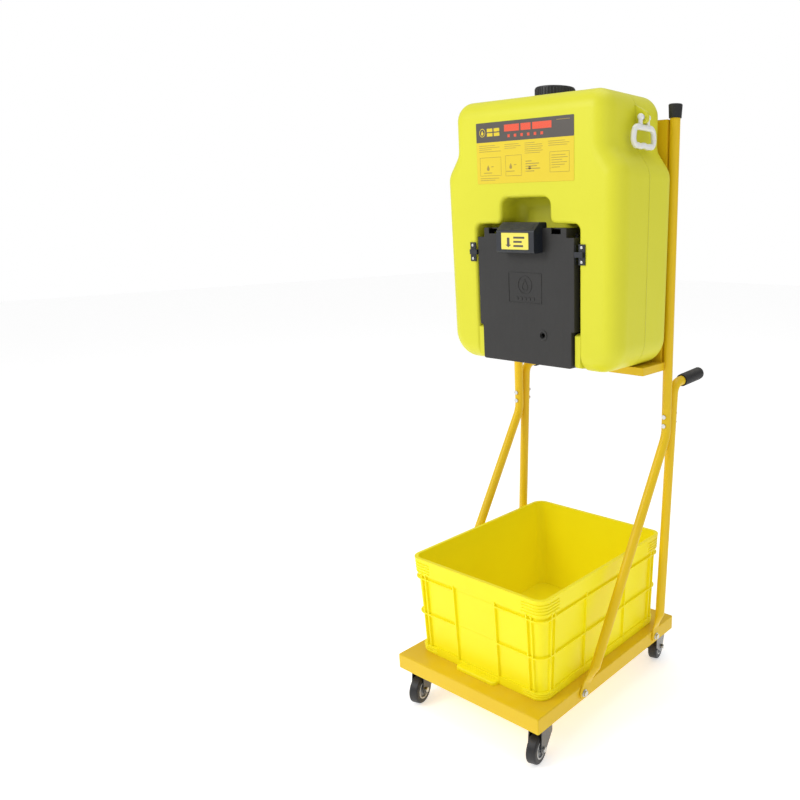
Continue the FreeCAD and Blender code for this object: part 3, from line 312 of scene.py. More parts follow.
# ------------------------------------------------------------------ finishes
@dataclass(frozen=True)
class Finish:
    """One surface finish. Lengths are in metres and scales are per metre."""

    name: str
    colour: Colour
    shade: Colour
    roughness: float
    metallic: float = 0.0
    rough_spread: float = 0.12
    mottle_scale: float = 5.0
    mottle: float = 0.6
    grain_scale: float = 700.0
    grain_depth: float = 0.00008
    wear: float = 0.0
    wear_colour: Colour = (0.8, 0.8, 0.8)
    wear_width: float = 0.0015
    wear_scale: float = 60.0
    dust: float = 0.12
    dust_colour: Colour = (0.62, 0.6, 0.55)
    coat: float = 0.0
    specular: float = 0.5
    # Self-lit emission in the finish's colour: an even white on the floor, painted light on the bin.
    glow: float = 0.0
    subsurface: float = 0.0
    subsurface_reach: float = 0.004
    soften: float = 0.0012

    def build(self) -> bpy.types.Material:
        """Make the material, or return it if it is already made.

        Returns:
            A node-based material.
        """
        known = bpy.data.materials.get(self.name)
        if known is not None:
            return known
        material = bpy.data.materials.new(self.name)
        material.use_nodes = True
        material.diffuse_color = (*self.colour, 1.0)
        tree = material.node_tree
        shader = tree.nodes["Principled BSDF"]
        shader.inputs["Metallic"].default_value = self.metallic
        shader.inputs["Specular IOR Level"].default_value = self.specular
        # Emission in the finish's own colour; on the bin this is painted light.
        shader.inputs["Emission Color"].default_value = (*self.colour, 1.0)
        shader.inputs["Emission Strength"].default_value = self.glow
        shader.inputs["Coat Weight"].default_value = self.coat
        shader.inputs["Coat Roughness"].default_value = 0.15
        shader.inputs["Subsurface Weight"].default_value = self.subsurface
        shader.inputs["Subsurface Radius"].default_value = (1.0, 0.8, 0.25)
        shader.inputs["Subsurface Scale"].default_value = self.subsurface_reach
        place = tree.nodes.new("ShaderNodeTexCoord").outputs["Object"]
        tree.links.new(self.colour_socket(tree, place), shader.inputs["Base Color"])
        scuff = EFFECTS.place(tree, Effect.SCUFF, Vector=place, Roughness=self.roughness,
                              Spread=self.rough_spread)
        tree.links.new(scuff.outputs[0], shader.inputs["Roughness"])
        soft = tree.nodes.new("ShaderNodeBevel")
        soft.samples = 4
        soft.inputs["Radius"].default_value = self.soften
        bump = tree.nodes.new("ShaderNodeBump")
        bump.inputs["Strength"].default_value = 1.0
        tree.links.new(soft.outputs[0], bump.inputs["Normal"])
        bump.inputs["Distance"].default_value = self.grain_depth
        tree.links.new(self.height_socket(tree, place), bump.inputs["Height"])
        tree.links.new(bump.outputs[0], shader.inputs["Normal"])
        return material

    def colour_socket(self, tree: Tree, place: Socket) -> Socket:
        """Build the colour: mottled body, worn edges, dust on top.

        Args:
            tree: The material's node tree.
            place: The coordinates to use.

        Returns:
            The colour's socket.
        """
        colour = EFFECTS.place(
            tree, Effect.MOTTLE, Vector=place, Scale=self.mottle_scale, Amount=self.mottle,
            Colour=self.colour, Shade=self.shade,
        ).outputs[0]
        if self.wear > 0:
            mask = EFFECTS.place(
                tree, Effect.EDGE_WEAR, Vector=place, Scale=self.wear_scale, Amount=self.wear,
                Width=self.wear_width,
            ).outputs[0]
            colour = over(tree, colour, self.wear_colour, mask)
        if self.dust > 0:
            mask = EFFECTS.place(tree, Effect.DUST, Vector=place, Amount=self.dust).outputs[0]
            colour = over(tree, colour, self.dust_colour, mask)
        return colour

    def height_socket(self, tree: Tree, place: Socket) -> Socket:
        """Return the height that roughs up the surface."""
        return EFFECTS.place(tree, Effect.GRAIN, Vector=place, Scale=self.grain_scale).outputs[0]


@dataclass(frozen=True)
class BrushedMetal(Finish):
    """Plated steel with a fine drawn grain."""

    def height_socket(self, tree: Tree, place: Socket) -> Socket:
        """Stretch the grain along one way, as a brush leaves it.

        Args:
            tree: The material's node tree.
            place: The coordinates to use.

        Returns:
            The height's socket.
        """
        stretch = tree.nodes.new("ShaderNodeMapping")
        stretch.inputs["Scale"].default_value = (1.0, 1.0, 0.08)
        tree.links.new(place, stretch.inputs["Vector"])
        return EFFECTS.place(tree, Effect.GRAIN, Vector=stretch.outputs[0], Scale=self.grain_scale).outputs[0]


@dataclass(frozen=True)
class MouldedSkin(Finish):
    """Blow-moulded plastic with the ridge where the mould's halves met."""

    seam: float = 0.0
    seam_half: float = 0.0026
    seam_height: float = 11.0

    def height_socket(self, tree: Tree, place: Socket) -> Socket:
        """Add the ridge, at one Y all round, to the grain.

        Args:
            tree: The material's node tree.
            place: The coordinates to use.

        Returns:
            The height's socket.
        """
        grain = super().height_socket(tree, place)
        split = tree.nodes.new("ShaderNodeSeparateXYZ")
        tree.links.new(place, split.inputs[0])
        offset = EFFECTS.maths(tree, "SUBTRACT", split.outputs["Y"], self.seam)
        away = EFFECTS.maths(tree, "ABSOLUTE", offset, 0.0)
        ridge = tree.nodes.new("ShaderNodeMapRange")
        ridge.interpolation_type = "SMOOTHSTEP"
        tree.links.new(away, ridge.inputs["Value"])
        ridge.inputs["From Max"].default_value = self.seam_half
        ridge.inputs["To Min"].default_value = self.seam_height
        ridge.inputs["To Max"].default_value = 0.0
        return EFFECTS.maths(tree, "ADD", ridge.outputs["Result"], grain)


GOLD_COAT = Finish("gold_powder_coat", (0.80, 0.54, 0.010), (0.74, 0.48, 0.008), 0.38, grain_scale=900.0,
    grain_depth=0.00010, wear=0.5, wear_colour=(0.84, 0.60, 0.08), specular=0.28, dust=0.04)
TANK_SKIN = MouldedSkin("tank_lemon_polyethylene", (0.70, 0.685, 0.034), (0.655, 0.64, 0.026), 0.42,
    mottle_scale=3.0, grain_scale=420.0, grain_depth=0.00012, wear=0.25, wear_colour=(0.80, 0.80, 0.06),
    wear_width=0.004, dust=0.03, soften=0.003, specular=0.3)
# Painted light: glow=0.10 makes the bin shine its own yellow, standing in for light passing through the
# plastic.
BIN_SKIN = Finish("bin_yellow_polypropylene", (0.88, 0.78, 0.007), (0.85, 0.73, 0.005), 0.38,
    grain_scale=500.0, grain_depth=0.00004, subsurface=0.12, subsurface_reach=0.004, dust=0.02, specular=0.3,
    glow=0.10, soften=0.0004)
TRAY_SKIN = Finish("tray_charcoal_plastic", (0.029, 0.028, 0.027), (0.023, 0.0225, 0.022), 0.52,
    grain_scale=1100.0, grain_depth=0.00022, wear=0.5, wear_colour=(0.085, 0.085, 0.083), dust=0.03,
    specular=0.35)
HANDLE_SKIN = Finish("handle_blue_black_plastic", (0.010, 0.013, 0.020), (0.007, 0.009, 0.014), 0.42,
    grain_scale=1200.0, grain_depth=0.00012, wear=0.4, wear_colour=(0.045, 0.05, 0.06))
CAP_SKIN = Finish("cap_black_plastic", (0.014, 0.014, 0.015), (0.010, 0.010, 0.011), 0.4, grain_depth=0.00008,
    wear=0.4, wear_colour=(0.06, 0.06, 0.06), dust=0.1)
RUBBER_SKIN = Finish("black_rubber", (0.008, 0.008, 0.0085), (0.012, 0.012, 0.012), 0.6, grain_scale=1500.0,
    grain_depth=0.00015, wear=0.3, wear_colour=(0.035, 0.035, 0.035), dust=0.1)
TYRE_SKIN = Finish("tyre_black_tread", (0.012, 0.0115, 0.013), (0.018, 0.0175, 0.019), 0.48,
    grain_scale=900.0, grain_depth=0.00015, wear=0.5, wear_colour=(0.06, 0.058, 0.06), dust=0.08)
HUB_SKIN = Finish("hub_grey_plastic", (0.30, 0.31, 0.32), (0.24, 0.25, 0.26), 0.45, wear=0.3)
YOKE_COAT = Finish("yoke_black_coat", (0.008, 0.008, 0.0095), (0.013, 0.013, 0.014), 0.3, grain_depth=0.00006,
    wear=0.6, wear_colour=(0.09, 0.09, 0.095), coat=0.4)
RING_SKIN = Finish("ring_white_plastic", (0.80, 0.80, 0.78), (0.74, 0.74, 0.70), 0.34, grain_depth=0.00004,
    wear=0.2, wear_colour=(0.88, 0.88, 0.86), subsurface=0.2, subsurface_reach=0.004)
SPRAY_SKIN = Finish("spray_yellow_plastic", (0.86, 0.55, 0.006), (0.78, 0.47, 0.005), 0.36)
VALVE_SKIN = Finish("valve_grey_plastic", (0.30, 0.31, 0.31), (0.25, 0.26, 0.26), 0.42)
ZINC = BrushedMetal("zinc_plate", (0.62, 0.62, 0.60), (0.50, 0.50, 0.49), 0.28, metallic=1.0,
    grain_scale=1400.0, grain_depth=0.00004, wear=0.4, wear_colour=(0.8, 0.8, 0.78), dust=0.1)
AMBER_FILM = Finish("label_amber_film", (0.76, 0.585, 0.030), (0.73, 0.55, 0.026), 0.38, specular=0.3,
    dust=0.02, grain_depth=0.00002)
BLACK_INK = Finish("label_black_ink", (0.066, 0.055, 0.045), (0.080, 0.067, 0.055), 0.36, coat=0.15,
    dust=0.02, grain_depth=0.00002)
RED_INK = Finish("label_red_ink", (0.78, 0.075, 0.022), (0.72, 0.06, 0.02), 0.36, coat=0.15, dust=0.0,
    grain_depth=0.00002)
GREY_INK = Finish("label_grey_ink", (0.34, 0.24, 0.035), (0.38, 0.27, 0.04), 0.36, coat=0.15, dust=0.0,
    grain_depth=0.00002)
PULL_FILM = Finish("pull_yellow_film", (0.84, 0.74, 0.10), (0.80, 0.70, 0.08), 0.34, coat=0.15, dust=0.02,
    grain_depth=0.00002)
RIM_SKIN = Finish("rim_pale_plastic", (0.55, 0.55, 0.54), (0.46, 0.46, 0.45), 0.4, wear=0.3)
# Painted shade: near-black discs that stand for the shade inside the spray heads' holes.
HOLE_SHADE_PAINT = Finish("spray_hole_dark", (0.02, 0.018, 0.012), (0.03, 0.026, 0.016), 0.7, dust=0.0)
PALE_FLOOR = Finish("studio_pale_floor", (0.90, 0.90, 0.90), (0.885, 0.885, 0.885), 0.7, dust=0.0, glow=0.58,
    grain_scale=60.0, grain_depth=0.00002)


# ------------------------------------------------------------------ mesh helpers
def rounded(corners: list[tuple[float, float, float]], steps: int = 6) -> list[Flat]:
    """Trace a closed outline with an arc at each corner.

    Args:
        corners: Corner points as (u, v, radius).
        steps: Points for each arc.

    Returns:
        The outline's points.
    """
    outline: list[Flat] = []
    for index, (u, v, radius) in enumerate(corners):
        if radius <= 0:
            outline.append((u, v))
            continue
        here = Vector((u, v))
        back = (Vector(corners[index - 1][:2]) - here).normalized()
        ahead = (Vector(corners[(index + 1) % len(corners)][:2]) - here).normalized()
        half = back.angle(ahead) / 2
        centre = here + (back + ahead).normalized() * (radius / math.sin(half))
        first = here + back * (radius / math.tan(half)) - centre
        last = here + ahead * (radius / math.tan(half)) - centre
        start = math.atan2(first.y, first.x)
        turn = (math.atan2(last.y, last.x) - start + math.pi) % (2 * math.pi) - math.pi
        for step in range(steps + 1):
            angle = start + turn * step / steps
            outline.append((centre.x + radius * math.cos(angle), centre.y + radius * math.sin(angle)))
    return outline


def panel(left: float, right: float, low: float, high: float, radius: float = 0.0) -> list[Flat]:
    """Return the outline of a rectangle with rounded corners."""
    return rounded([(left, low, radius), (right, low, radius), (right, high, radius), (left, high, radius)])


def circle(u: float, v: float, radius: float, count: int = 32) -> list[Flat]:
    """Return the outline of a circle."""
    return [(u + radius * math.cos(2 * math.pi * k / count), v + radius * math.sin(2 * math.pi * k / count))
            for k in range(count)]


def drop(u: float, v: float, radius: float, count: int = 20) -> list[Flat]:
    """Trace a water drop with its point up.

    Args:
        u: Middle of the round part, sideways.
        v: Middle of the round part, upward.
        radius: Radius of the round part.
        count: Steps round it.

    Returns:
        The outline's points.
    """
    outline = []
    for k in range(count + 1):
        angle = math.radians(-215 + 250 * k / count)
        outline.append((u + radius * math.cos(angle), v + radius * math.sin(angle)))
    return outline + [(u, v + 2.1 * radius)]


class Probe:
    """Finds where a CAD node's surface is."""

    def __init__(self, node: str) -> None:
        mesh = frame["nodes"][node].data
        faces = [tuple(p.vertices) for p in mesh.polygons]
        self.tree = BVHTree.FromPolygons([v.co for v in mesh.vertices], faces)

    def hit(self, start: Vector, way: Vector) -> tuple[Vector, Vector]:
        """Shoot from a point along a direction.

        Args:
            start: Where the ray starts.
            way: The ray's direction.

        Returns:
            The first point on the surface, and the surface's normal there.

        Raises:
            ValueError: If the ray misses.
        """
        point, normal, _, _ = self.tree.ray_cast(start, way)
        if point is None:
            raise ValueError(f"nothing in front of {tuple(start)}")
        return point, normal

    def front(self, x: float, z: float) -> float:
        """Return the Y of the first surface seen from the front."""
        return self.hit(Vector((x, -2.0, z)), Vector((0, 1, 0)))[0].y


class Shaper:
    """Collects the faces of one new piece."""

    def __init__(self) -> None:
        self.work = bmesh.new()

    def skin(self, rings: list[list[Vector]], finish: int = 0, loop: bool = False) -> None:
        """Join rings of points into a closed skin.

        Args:
            rings: Rings with equal counts of points.
            finish: The material index.
            loop: Whether the last ring joins the first; otherwise both ends are capped.
        """
        verts = [[self.work.verts.new(p) for p in ring] for ring in rings]
        pairs = list(zip(verts, verts[1:])) + ([(verts[-1], verts[0])] if loop else [])
        made = []
        for one, two in pairs:
            count = len(one)
            for k in range(count):
                made.append(self.work.faces.new((one[k], one[(k + 1) % count], two[(k + 1) % count], two[k])))
        if not loop:
            made.append(self.work.faces.new(verts[0]))
            made.append(self.work.faces.new(list(reversed(verts[-1]))))
        for face in made:
            face.material_index = finish

    def slab(self, outline: list[Flat], back: float, front: float, finish: int = 0) -> None:
        """Raise an outline drawn on the front view.

        Args:
            outline: Points as (x, z).
            back: Y of the slab's back.
            front: Y of its front.
            finish: The material index.
        """
        self.skin([[Vector((x, y, z)) for x, z in outline] for y in (back, front)], finish)

    def band(self, outer: list[Flat], inner: list[Flat], back: float, front: float, finish: int = 0) -> None:
        """Raise the band between two outlines with equal counts of points.

        Args:
            outer: The outside points as (x, z).
            inner: The inside points as (x, z).
            back: Y of the band's back.
            front: Y of its front.
            finish: The material index.
        """
        walls = [(outer, back), (outer, front), (inner, front), (inner, back)]
        self.skin([[Vector((x, y, z)) for x, z in line] for line, y in walls], finish, loop=True)

    def sweep(self, path: list[Vector], across: Vector, size: list[tuple[float, float]], loop: bool = False,
              finish: int = 0, count: int = 20, square: float = 2.6) -> None:
        """Sweep a soft oval along a flat path.

        Args:
            path: The points of the path.
            across: Unit normal of the plane that the path lies in.
            size: Half thickness across the plane and half width in it, at each point.
            loop: Whether the path closes.
            finish: The material index.
            count: Points round the oval.
            square: 2 for an ellipse, and more for a boxier oval.
        """
        rings = []
        last = len(path) - 1
        for k, (point, (thick, wide)) in enumerate(zip(path, size)):
            ahead = path[(k + 1) % len(path)] if loop or k < last else point
            behind = path[k - 1] if loop or k > 0 else point
            side = (ahead - behind).normalized().cross(across)
            ring = []
            for j in range(count):
                c, s = math.cos(2 * math.pi * j / count), math.sin(2 * math.pi * j / count)
                a = math.copysign(abs(c) ** (2 / square), c) * thick
                b = math.copysign(abs(s) ** (2 / square), s) * wide
                ring.append(point + across * a + side * b)
            rings.append(ring)
        self.skin(rings, finish, loop)

    def turned(self, centre: Vector, axis: Vector, profile: list[tuple[float, float]], finish: int = 0,
               count: int = 40, loop: bool = False) -> None:
        """Turn a profile round an axis.

        Args:
            centre: A point on the axis.
            axis: Unit vector along the axis.
            profile: Points as (distance along the axis, radius).
            finish: The material index.
            count: Points round the axis.
            loop: Whether the profile closes on itself, as a ring's does.
        """
        u = axis.orthogonal().normalized()
        v = axis.cross(u)
        rings = []
        for along, radius in profile:
            rings.append([centre + axis * along + (u * math.cos(2 * math.pi * k / count)
                                                   + v * math.sin(2 * math.pi * k / count)) * radius
                          for k in range(count)])
        self.skin(rings, finish, loop)

    def finish(self, name: str, finishes: list[Finish], body: str, slot: str,
               replaces: tuple[str, ...] = (), angle: float = 40.0) -> bpy.types.Object:
        """Turn the collected faces into a piece of the object.

        Args:
            name: The piece's name.
            finishes: One finish for each material index.
            body: The CAD body that the piece moves with.
            slot: The record's material slot; not used.
            replaces: CAD nodes that the piece stands for.
            angle: Edges sharper than this, in degrees, stay crisp.

        Returns:
            The new object.
        """
        bmesh.ops.recalc_face_normals(self.work, faces=self.work.faces)
        for edge in self.work.edges:
            edge.smooth = len(edge.link_faces) == 2 and edge.calc_face_angle(0.0) <= math.radians(angle)
        for face in self.work.faces:
            face.smooth = True
        mesh = bpy.data.meshes.new(name)
        self.work.to_mesh(mesh)
        self.work.free()
        for finish in finishes:
            mesh.materials.append(finish.build())
        thing = bpy.data.objects.new(name, mesh)
        bpy.context.scene.collection.objects.link(thing)
        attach(thing, body)
        if replaces:
            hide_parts(*replaces)
        log.info("made %s", name)
        return thing


def dress(finish: Finish, *nodes: str) -> None:
    """Give CAD nodes their finish.

    Args:
        finish: The finish wanted.
        *nodes: Names of CAD nodes, or the start of several names with a star after it.
    """
    names = set()
    for node in nodes:
        names |= {n for n in frame["nodes"] if n == node or (node.endswith("*") and n.startswith(node[:-1]))}
    for name in sorted(names):
        thing = frame["nodes"][name]
        material = finish.build()
        if not thing.material_slots:
            thing.data.materials.append(material)
        for material_slot in thing.material_slots:
            material_slot.material = material
        log.info("dressed %s in %s", name, finish.name)


# ------------------------------------------------------------------ trolley
@dataclass
class Trolley:
    """Deck, posts, shelf and back panel, with their caps, grips and bolts."""

    grip_rings_count: int = 9
    first_ring: float = 0.12
    ring_share: float = 0.72
    ring_half: float = 1.6 * MM
    ring_proud: float = 0.25 * MM
    ring_sunk: float = 0.3 * MM

    def build(self) -> None:
        """Dress the steelwork and its end pieces."""
        dress(GOLD_COAT, "platform_deck", "deck_channels", "upright_left", "upright_right", "rear_post_*",
              "back_panel", "tank_shelf")
        dress(RUBBER_SKIN, "upright_cap_*", "handle_grip_*")
        dress(ZINC, "frame_bolts")
        for side in Side:
            self.grip_rings(side)

    def grip_rings(self, side: Side) -> None:
        """Add the moulded rings round a grip.

        Args:
            side: The grip's hand.
        """
        low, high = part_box(side.node("handle_grip"))
        radius = (high.x - low.x) / 2
        start = Vector(((low.x + high.x) / 2, low.y, low.z + radius))
        end = Vector((start.x, high.y, high.z - radius))
        way = (end - start).normalized()
        shape = Shaper()
        length = (end - start).length
        half, foot, crest = self.ring_half, radius - self.ring_sunk, radius + self.ring_proud
        for k in range(self.grip_rings_count):
            share = self.first_ring + self.ring_share * k / (self.grip_rings_count - 1)
            shape.turned(start + way * (length * share), way,
                         [(-half, foot), (-half / 2, crest), (half / 2, crest), (half, foot)], loop=True)
        shape.finish(f"grip_rings_{side.name.lower()}", [RUBBER_SKIN], "trolley", "rubber")


@dataclass
class Casters:
    """The four swivel casters, the rear pair with brake levers."""

    rim_out: float = 24.8 * MM
    rim_in: float = 21.2 * MM
    rim_t: float = 1.0 * MM
    rim_edge: float = 0.4 * MM
    rim_sunk: float = 1.5 * MM

    def build(self) -> None:
        """Dress the casters and add the pale rims of their wheels."""
        dress(YOKE_COAT, "caster_plates", "caster_yoke_*")
        dress(TYRE_SKIN, "caster_tyre_*")
        dress(HUB_SKIN, "caster_hub_*")
        dress(ZINC, "caster_plate_bolts", "caster_axle_*", "brake_pedal_*")
        for joint in frame["joints"]:
            if joint["name"].startswith("wheel_spin_"):
                self.rim(joint)

    def rim(self, joint: dict) -> None:
        """Add both rims of a wheel.

        Args:
            joint: The wheel's spin joint, as the record has it.
        """
        place = joint["name"].removeprefix("wheel_spin_")
        centre, axis = Vector(joint["pos_m"]), Vector(joint["axis"]).normalized()
        probe = Probe(f"caster_hub_{place}")
        upward = axis.orthogonal().normalized()
        mid = (self.rim_out + self.rim_in) / 2
        shape = Shaper()
        for hand in (1, -1):
            start = centre + upward * mid + axis * hand * 0.1
            face = (probe.hit(start, axis * -hand)[0] - centre).dot(axis) * hand
            foot, edge = face - self.rim_sunk, face + self.rim_edge
            shape.turned(centre, axis * hand,
                         [(foot, self.rim_in), (edge, self.rim_in), (face + self.rim_t, mid),
                          (edge, self.rim_out), (foot, self.rim_out)],
                         loop=True)
        shape.finish(f"wheel_rim_{place}", [RIM_SKIN], f"wheel_{place}", "hub")


# ------------------------------------------------------------------ tank
class Ink(Enum):
    """The label's printing colours, as material indexes."""

    FILM = 0
    BLACK = 1
    RED = 2
    GREY = 3


@dataclass
class InstructionLabel:
    """The printed film on the tank's front, with plain bars for words. Layout numbers are in millimetres."""

    title_h: float = 44 * MM
    proud: float = 0.06 * MM
    sunk: float = 0.2 * MM
    corner: float = 2 * MM
    title_blocks: tuple[Flat, ...] = ((90, 46), (141, 30), (176, 56))
    columns: tuple[tuple[float, tuple[float, ...]], ...] = (
        (8, (52, 66, 40, 70)), (90, (44, 50, 36)), (152, (30, 52, 54, 50, 54, 46)), (222, (48, 60, 54)))
    boxes: tuple[tuple[float, float, float, float], ...] = (
        (10, 18, 68, 42), (92, 16, 50, 46), (226, 20, 56, 44))
    shape: Shaper = field(default_factory=Shaper)

    def build(self) -> None:
        """Build the film and its printing."""
        low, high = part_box("instruction_label")
        self.left, self.low, self.face = low.x, low.z, low.y
        width, height = high.x - low.x, high.z - low.z
        self.shape.slab(panel(low.x, high.x, low.z, high.z, self.corner), high.y, low.y)
        self.mark(Ink.BLACK, panel(0, width, height - self.title_h, height, self.corner))
        self.title(height - self.title_h)
        self.guide(height - self.title_h)
        self.shape.finish("instruction_film", [AMBER_FILM, BLACK_INK, RED_INK, GREY_INK], "tank", "label",
                          ("instruction_label",))

    def mark(self, ink: Ink, outline: list[Flat], layer: int = 1) -> None:
        """Print one mark.

        Args:
            ink: Its colour.
            outline: Its outline, from the label's lower left corner.
            layer: 1 on the film and 2 on another mark.
        """
        moved = [(self.left + u, self.low + v) for u, v in outline]
        self.shape.slab(moved, self.face + self.sunk, self.face - self.proud * layer, ink.value)

    def bar(self, ink: Ink, u: float, v: float, width: float, height: float, layer: int = 1) -> None:
        """Print a plain bar whose lower left corner and size are in millimetres."""
        self.mark(ink, panel(u * MM, (u + width) * MM, v * MM, (v + height) * MM), layer)

    def box(self, u: float, v: float, width: float, height: float, line: float = 0.7) -> None:
        """Print a thin grey box, with sizes in millimetres."""
        tall = height - 2 * line
        for args in ((u, v, width, line), (u, v + height - line, width, line),
                     (u, v + line, line, tall), (u + width - line, v + line, line, tall)):
            self.bar(Ink.GREY, *args)

    def title(self, base: float) -> None:
        """Print the title band's emblem and bars.

        Args:
            base: Height of the band's lower edge over the label's.
        """
        low = base / MM
        rim, hole = circle(20 * MM, (low + 22) * MM, 9.5 * MM), circle(20 * MM, (low + 22) * MM, 8 * MM)
        self.mark(Ink.FILM, rim, 2)
        self.mark(Ink.BLACK, hole, 3)
        self.mark(Ink.FILM, drop(20 * MM, (low + 20) * MM, 3.6 * MM), 4)
        for u in (35, 57):
            for k in range(2):
                self.bar(Ink.FILM, u, low + 13 + 10 * k, 18, 7.6, 2)
        for u, width in self.title_blocks:
            self.bar(Ink.RED, u, low + 21, width, 15, 2)
        for k in range(6):
            self.bar(Ink.RED, 100 + 20 * k, low + 8, 7.5, 6.5, 2)
        self.bar(Ink.GREY, 246, low + 36, 38, 1.2, 2)

    def guide(self, top: float) -> None:
        """Print the four columns of faint lines and boxes.

        Args:
            top: Height of the amber field's upper edge over the label's.
        """
        high = top / MM
        for u, widths in self.columns:
            for k, width in enumerate(widths):
                self.bar(Ink.GREY, u, high - 8 - 4.4 * k, width, 0.9)
        for u, v, width, tall in self.boxes:
            self.box(u, v, width, tall)
        for u, v in ((36, 34), (108, 36)):
            self.mark(Ink.GREY, drop(u * MM, v * MM, 4.2 * MM))
            self.bar(Ink.GREY, u - 14, v - 10, 26, 1.4)
            self.bar(Ink.GREY, u + 10, v + 4, 8, 1.2)
        for k, width in enumerate((18, 40, 34, 44, 26)):
            self.bar(Ink.GREY, 154, 46 - 5.5 * k, width, 1.6)
        self.mark(Ink.GREY, circle(166 * MM, 32 * MM, 4 * MM, 20), 1)
        for k, width in enumerate((40, 46, 30, 44, 38, 24)):
            self.bar(Ink.GREY, 231, 56 - 5.2 * k, width, 1.0)
        for k, width in enumerate((60, 48)):
            self.bar(Ink.GREY, 10, 12 - 4.4 * k, width, 0.9)


@dataclass
class Tank:
    """The moulded tank with its latches, valve and label."""

    def build(self) -> None:
        """Dress the tank and add its label."""
        low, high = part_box("tank_shell")
        skin = replace(TANK_SKIN, seam=(low.y + high.y) / 2)
        dress(skin, "tank_shell", "tank_neck")
        dress(HANDLE_SKIN, "latch_catches")
        dress(ZINC, "latch_screws")
        dress(VALVE_SKIN, "outlet_valve", "outlet_nut")
        InstructionLabel().build()


@dataclass
class FillCap:
    """The screw cap, its gasket and vent."""

    def build(self) -> None:
        """Dress the cap's pieces."""
        dress(CAP_SKIN, "fill_cap")
        dress(RUBBER_SKIN, "cap_gasket")


@dataclass
class CarryRing:
    """One soft white carrying ring: a wavy loop that hangs from two ball-ended horns."""

    side: Side
    bar: float = 5.6 * MM
    width: float = 6.4 * MM
    ball: float = 7.6 * MM
    horn_gap: float = 14 * MM
    wave: float = 2.2 * MM
    corner: float = 15 * MM

    def build(self) -> None:
        """Build the ring in place of its CAD node."""
        node = self.side.node("carry_ring")
        low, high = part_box(node)
        pivot = next(j for j in frame["joints"] if j["name"] == f"ring_{self.side.name.lower()}_hinge")
        x, y, z = pivot["pos_m"]
        shape = Shaper()
        loop = self.loop(x, y, low, high)
        shape.sweep(loop, Vector((1, 0, 0)), [(self.bar, self.width)] * len(loop), loop=True)
        top = loop[0].z
        for hand in (1, -1):
            foot = Vector((x, y + hand * (self.horn_gap + 2 * MM), top - 1 * MM))
            head = Vector((x, y + hand * self.horn_gap, z))
            path = [foot.lerp(head, k / 8) for k in range(9)]
            sizes = [(self.bar * (0.95 - 0.12 * math.sin(math.pi * k / 8)),
                      self.width * (1.0 - 0.25 * math.sin(math.pi * k / 8))) for k in range(9)]
            shape.sweep(path, Vector((1, 0, 0)), sizes)
            profile = [(self.ball * math.cos(math.pi * k / 12), self.ball * math.sin(math.pi * k / 12))
                       for k in range(1, 12)]
            shape.turned(head, Vector((0, hand, 0)), profile, count=28)
        reach = self.horn_gap
        shape.turned(Vector((x, y, z)), Vector((0, 1, 0)),
                     [(-reach, 4.8 * MM), (reach, 4.8 * MM)], count=24)
        shape.finish(f"soft_ring_{self.side.name.lower()}", [RING_SKIN], f"ring_{self.side.name.lower()}",
                     "ring_plastic", (node,), angle=50.0)

    def loop(self, x: float, y: float, low: Vector, high: Vector) -> list[Vector]:
        """Trace the loop's middle line, with a wave along its lower bar.

        Args:
            x: The plane that the ring hangs in.
            y: The ring's middle.
            low: Lowest corner of the CAD ring.
            high: Highest corner of the CAD ring.

        Returns:
            Points round the loop, from the middle of its top.
        """
        half = (high.y - low.y) / 2 - self.width
        base = low.z + self.width
        crown = base + 40 * MM
        outline = rounded([(0, crown, 0), (half * 0.86, crown, self.corner), (half, base, self.corner),
                           (-half, base, self.corner), (-half * 0.86, crown, self.corner)], steps=8)
        dense: list[Vector] = []
        for (u0, v0), (u1, v1) in zip(outline, outline[1:] + outline[:1]):
            pieces = max(1, int(math.hypot(u1 - u0, v1 - v0) / (3 * MM)))
            for k in range(pieces):
                u, v = u0 + (u1 - u0) * k / pieces, v0 + (v1 - v0) * k / pieces
                lift = self.wave * (1 - math.cos(2 * math.pi * (u / half * 1.5 + 0.5))) / 2
                share = max(0.0, 1 - (v - base) / (8 * MM)) if abs(u) < half * 0.66 else 0.0
                dense.append(Vector((x, y + u, v + lift * share)))
        return dense


# ------------------------------------------------------------------ tray
@dataclass
class PullPlate:
    """The yellow plate on the tray's pull, with an arrow in place of its word."""

    proud: float = 0.06 * MM
    arrow: tuple[Flat, ...] = ((4, 16), (4, -16), (9, -16), (0, -28), (-9, -16), (-4, -16), (-4, 16))
    arrow_left: float = 20 * MM
    arrow_squash: float = 0.5
    bars: tuple[Flat, ...] = ((-4, 34), (-4, 26), (-4, 30))

    def build(self) -> None:
        """Build the plate in place of its CAD node."""
        low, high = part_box("pull_plate")
        u, v = (low.x + high.x) / 2, (low.z + high.z) / 2
        front = low.y - self.proud
        shape = Shaper()
        shape.slab(panel(low.x, high.x, low.z, high.z, 1.5 * MM), high.y, low.y)
        arrow = [(u - self.arrow_left + a * MM, v + b * self.arrow_squash * MM) for a, b in self.arrow]
        shape.slab(arrow, low.y + self.proud, front, 1)
        for k, (start, width) in enumerate(self.bars):
            left, base = u + start * MM, v + (8 - 9.5 * k) * MM
            outline = panel(left, left + width * MM, base - 2 * MM, base + 2.4 * MM)
            shape.slab(outline, low.y + self.proud, front, 1)
        shape.finish("pull_sign", [PULL_FILM, BLACK_INK], "tray", "label", ("pull_plate",))


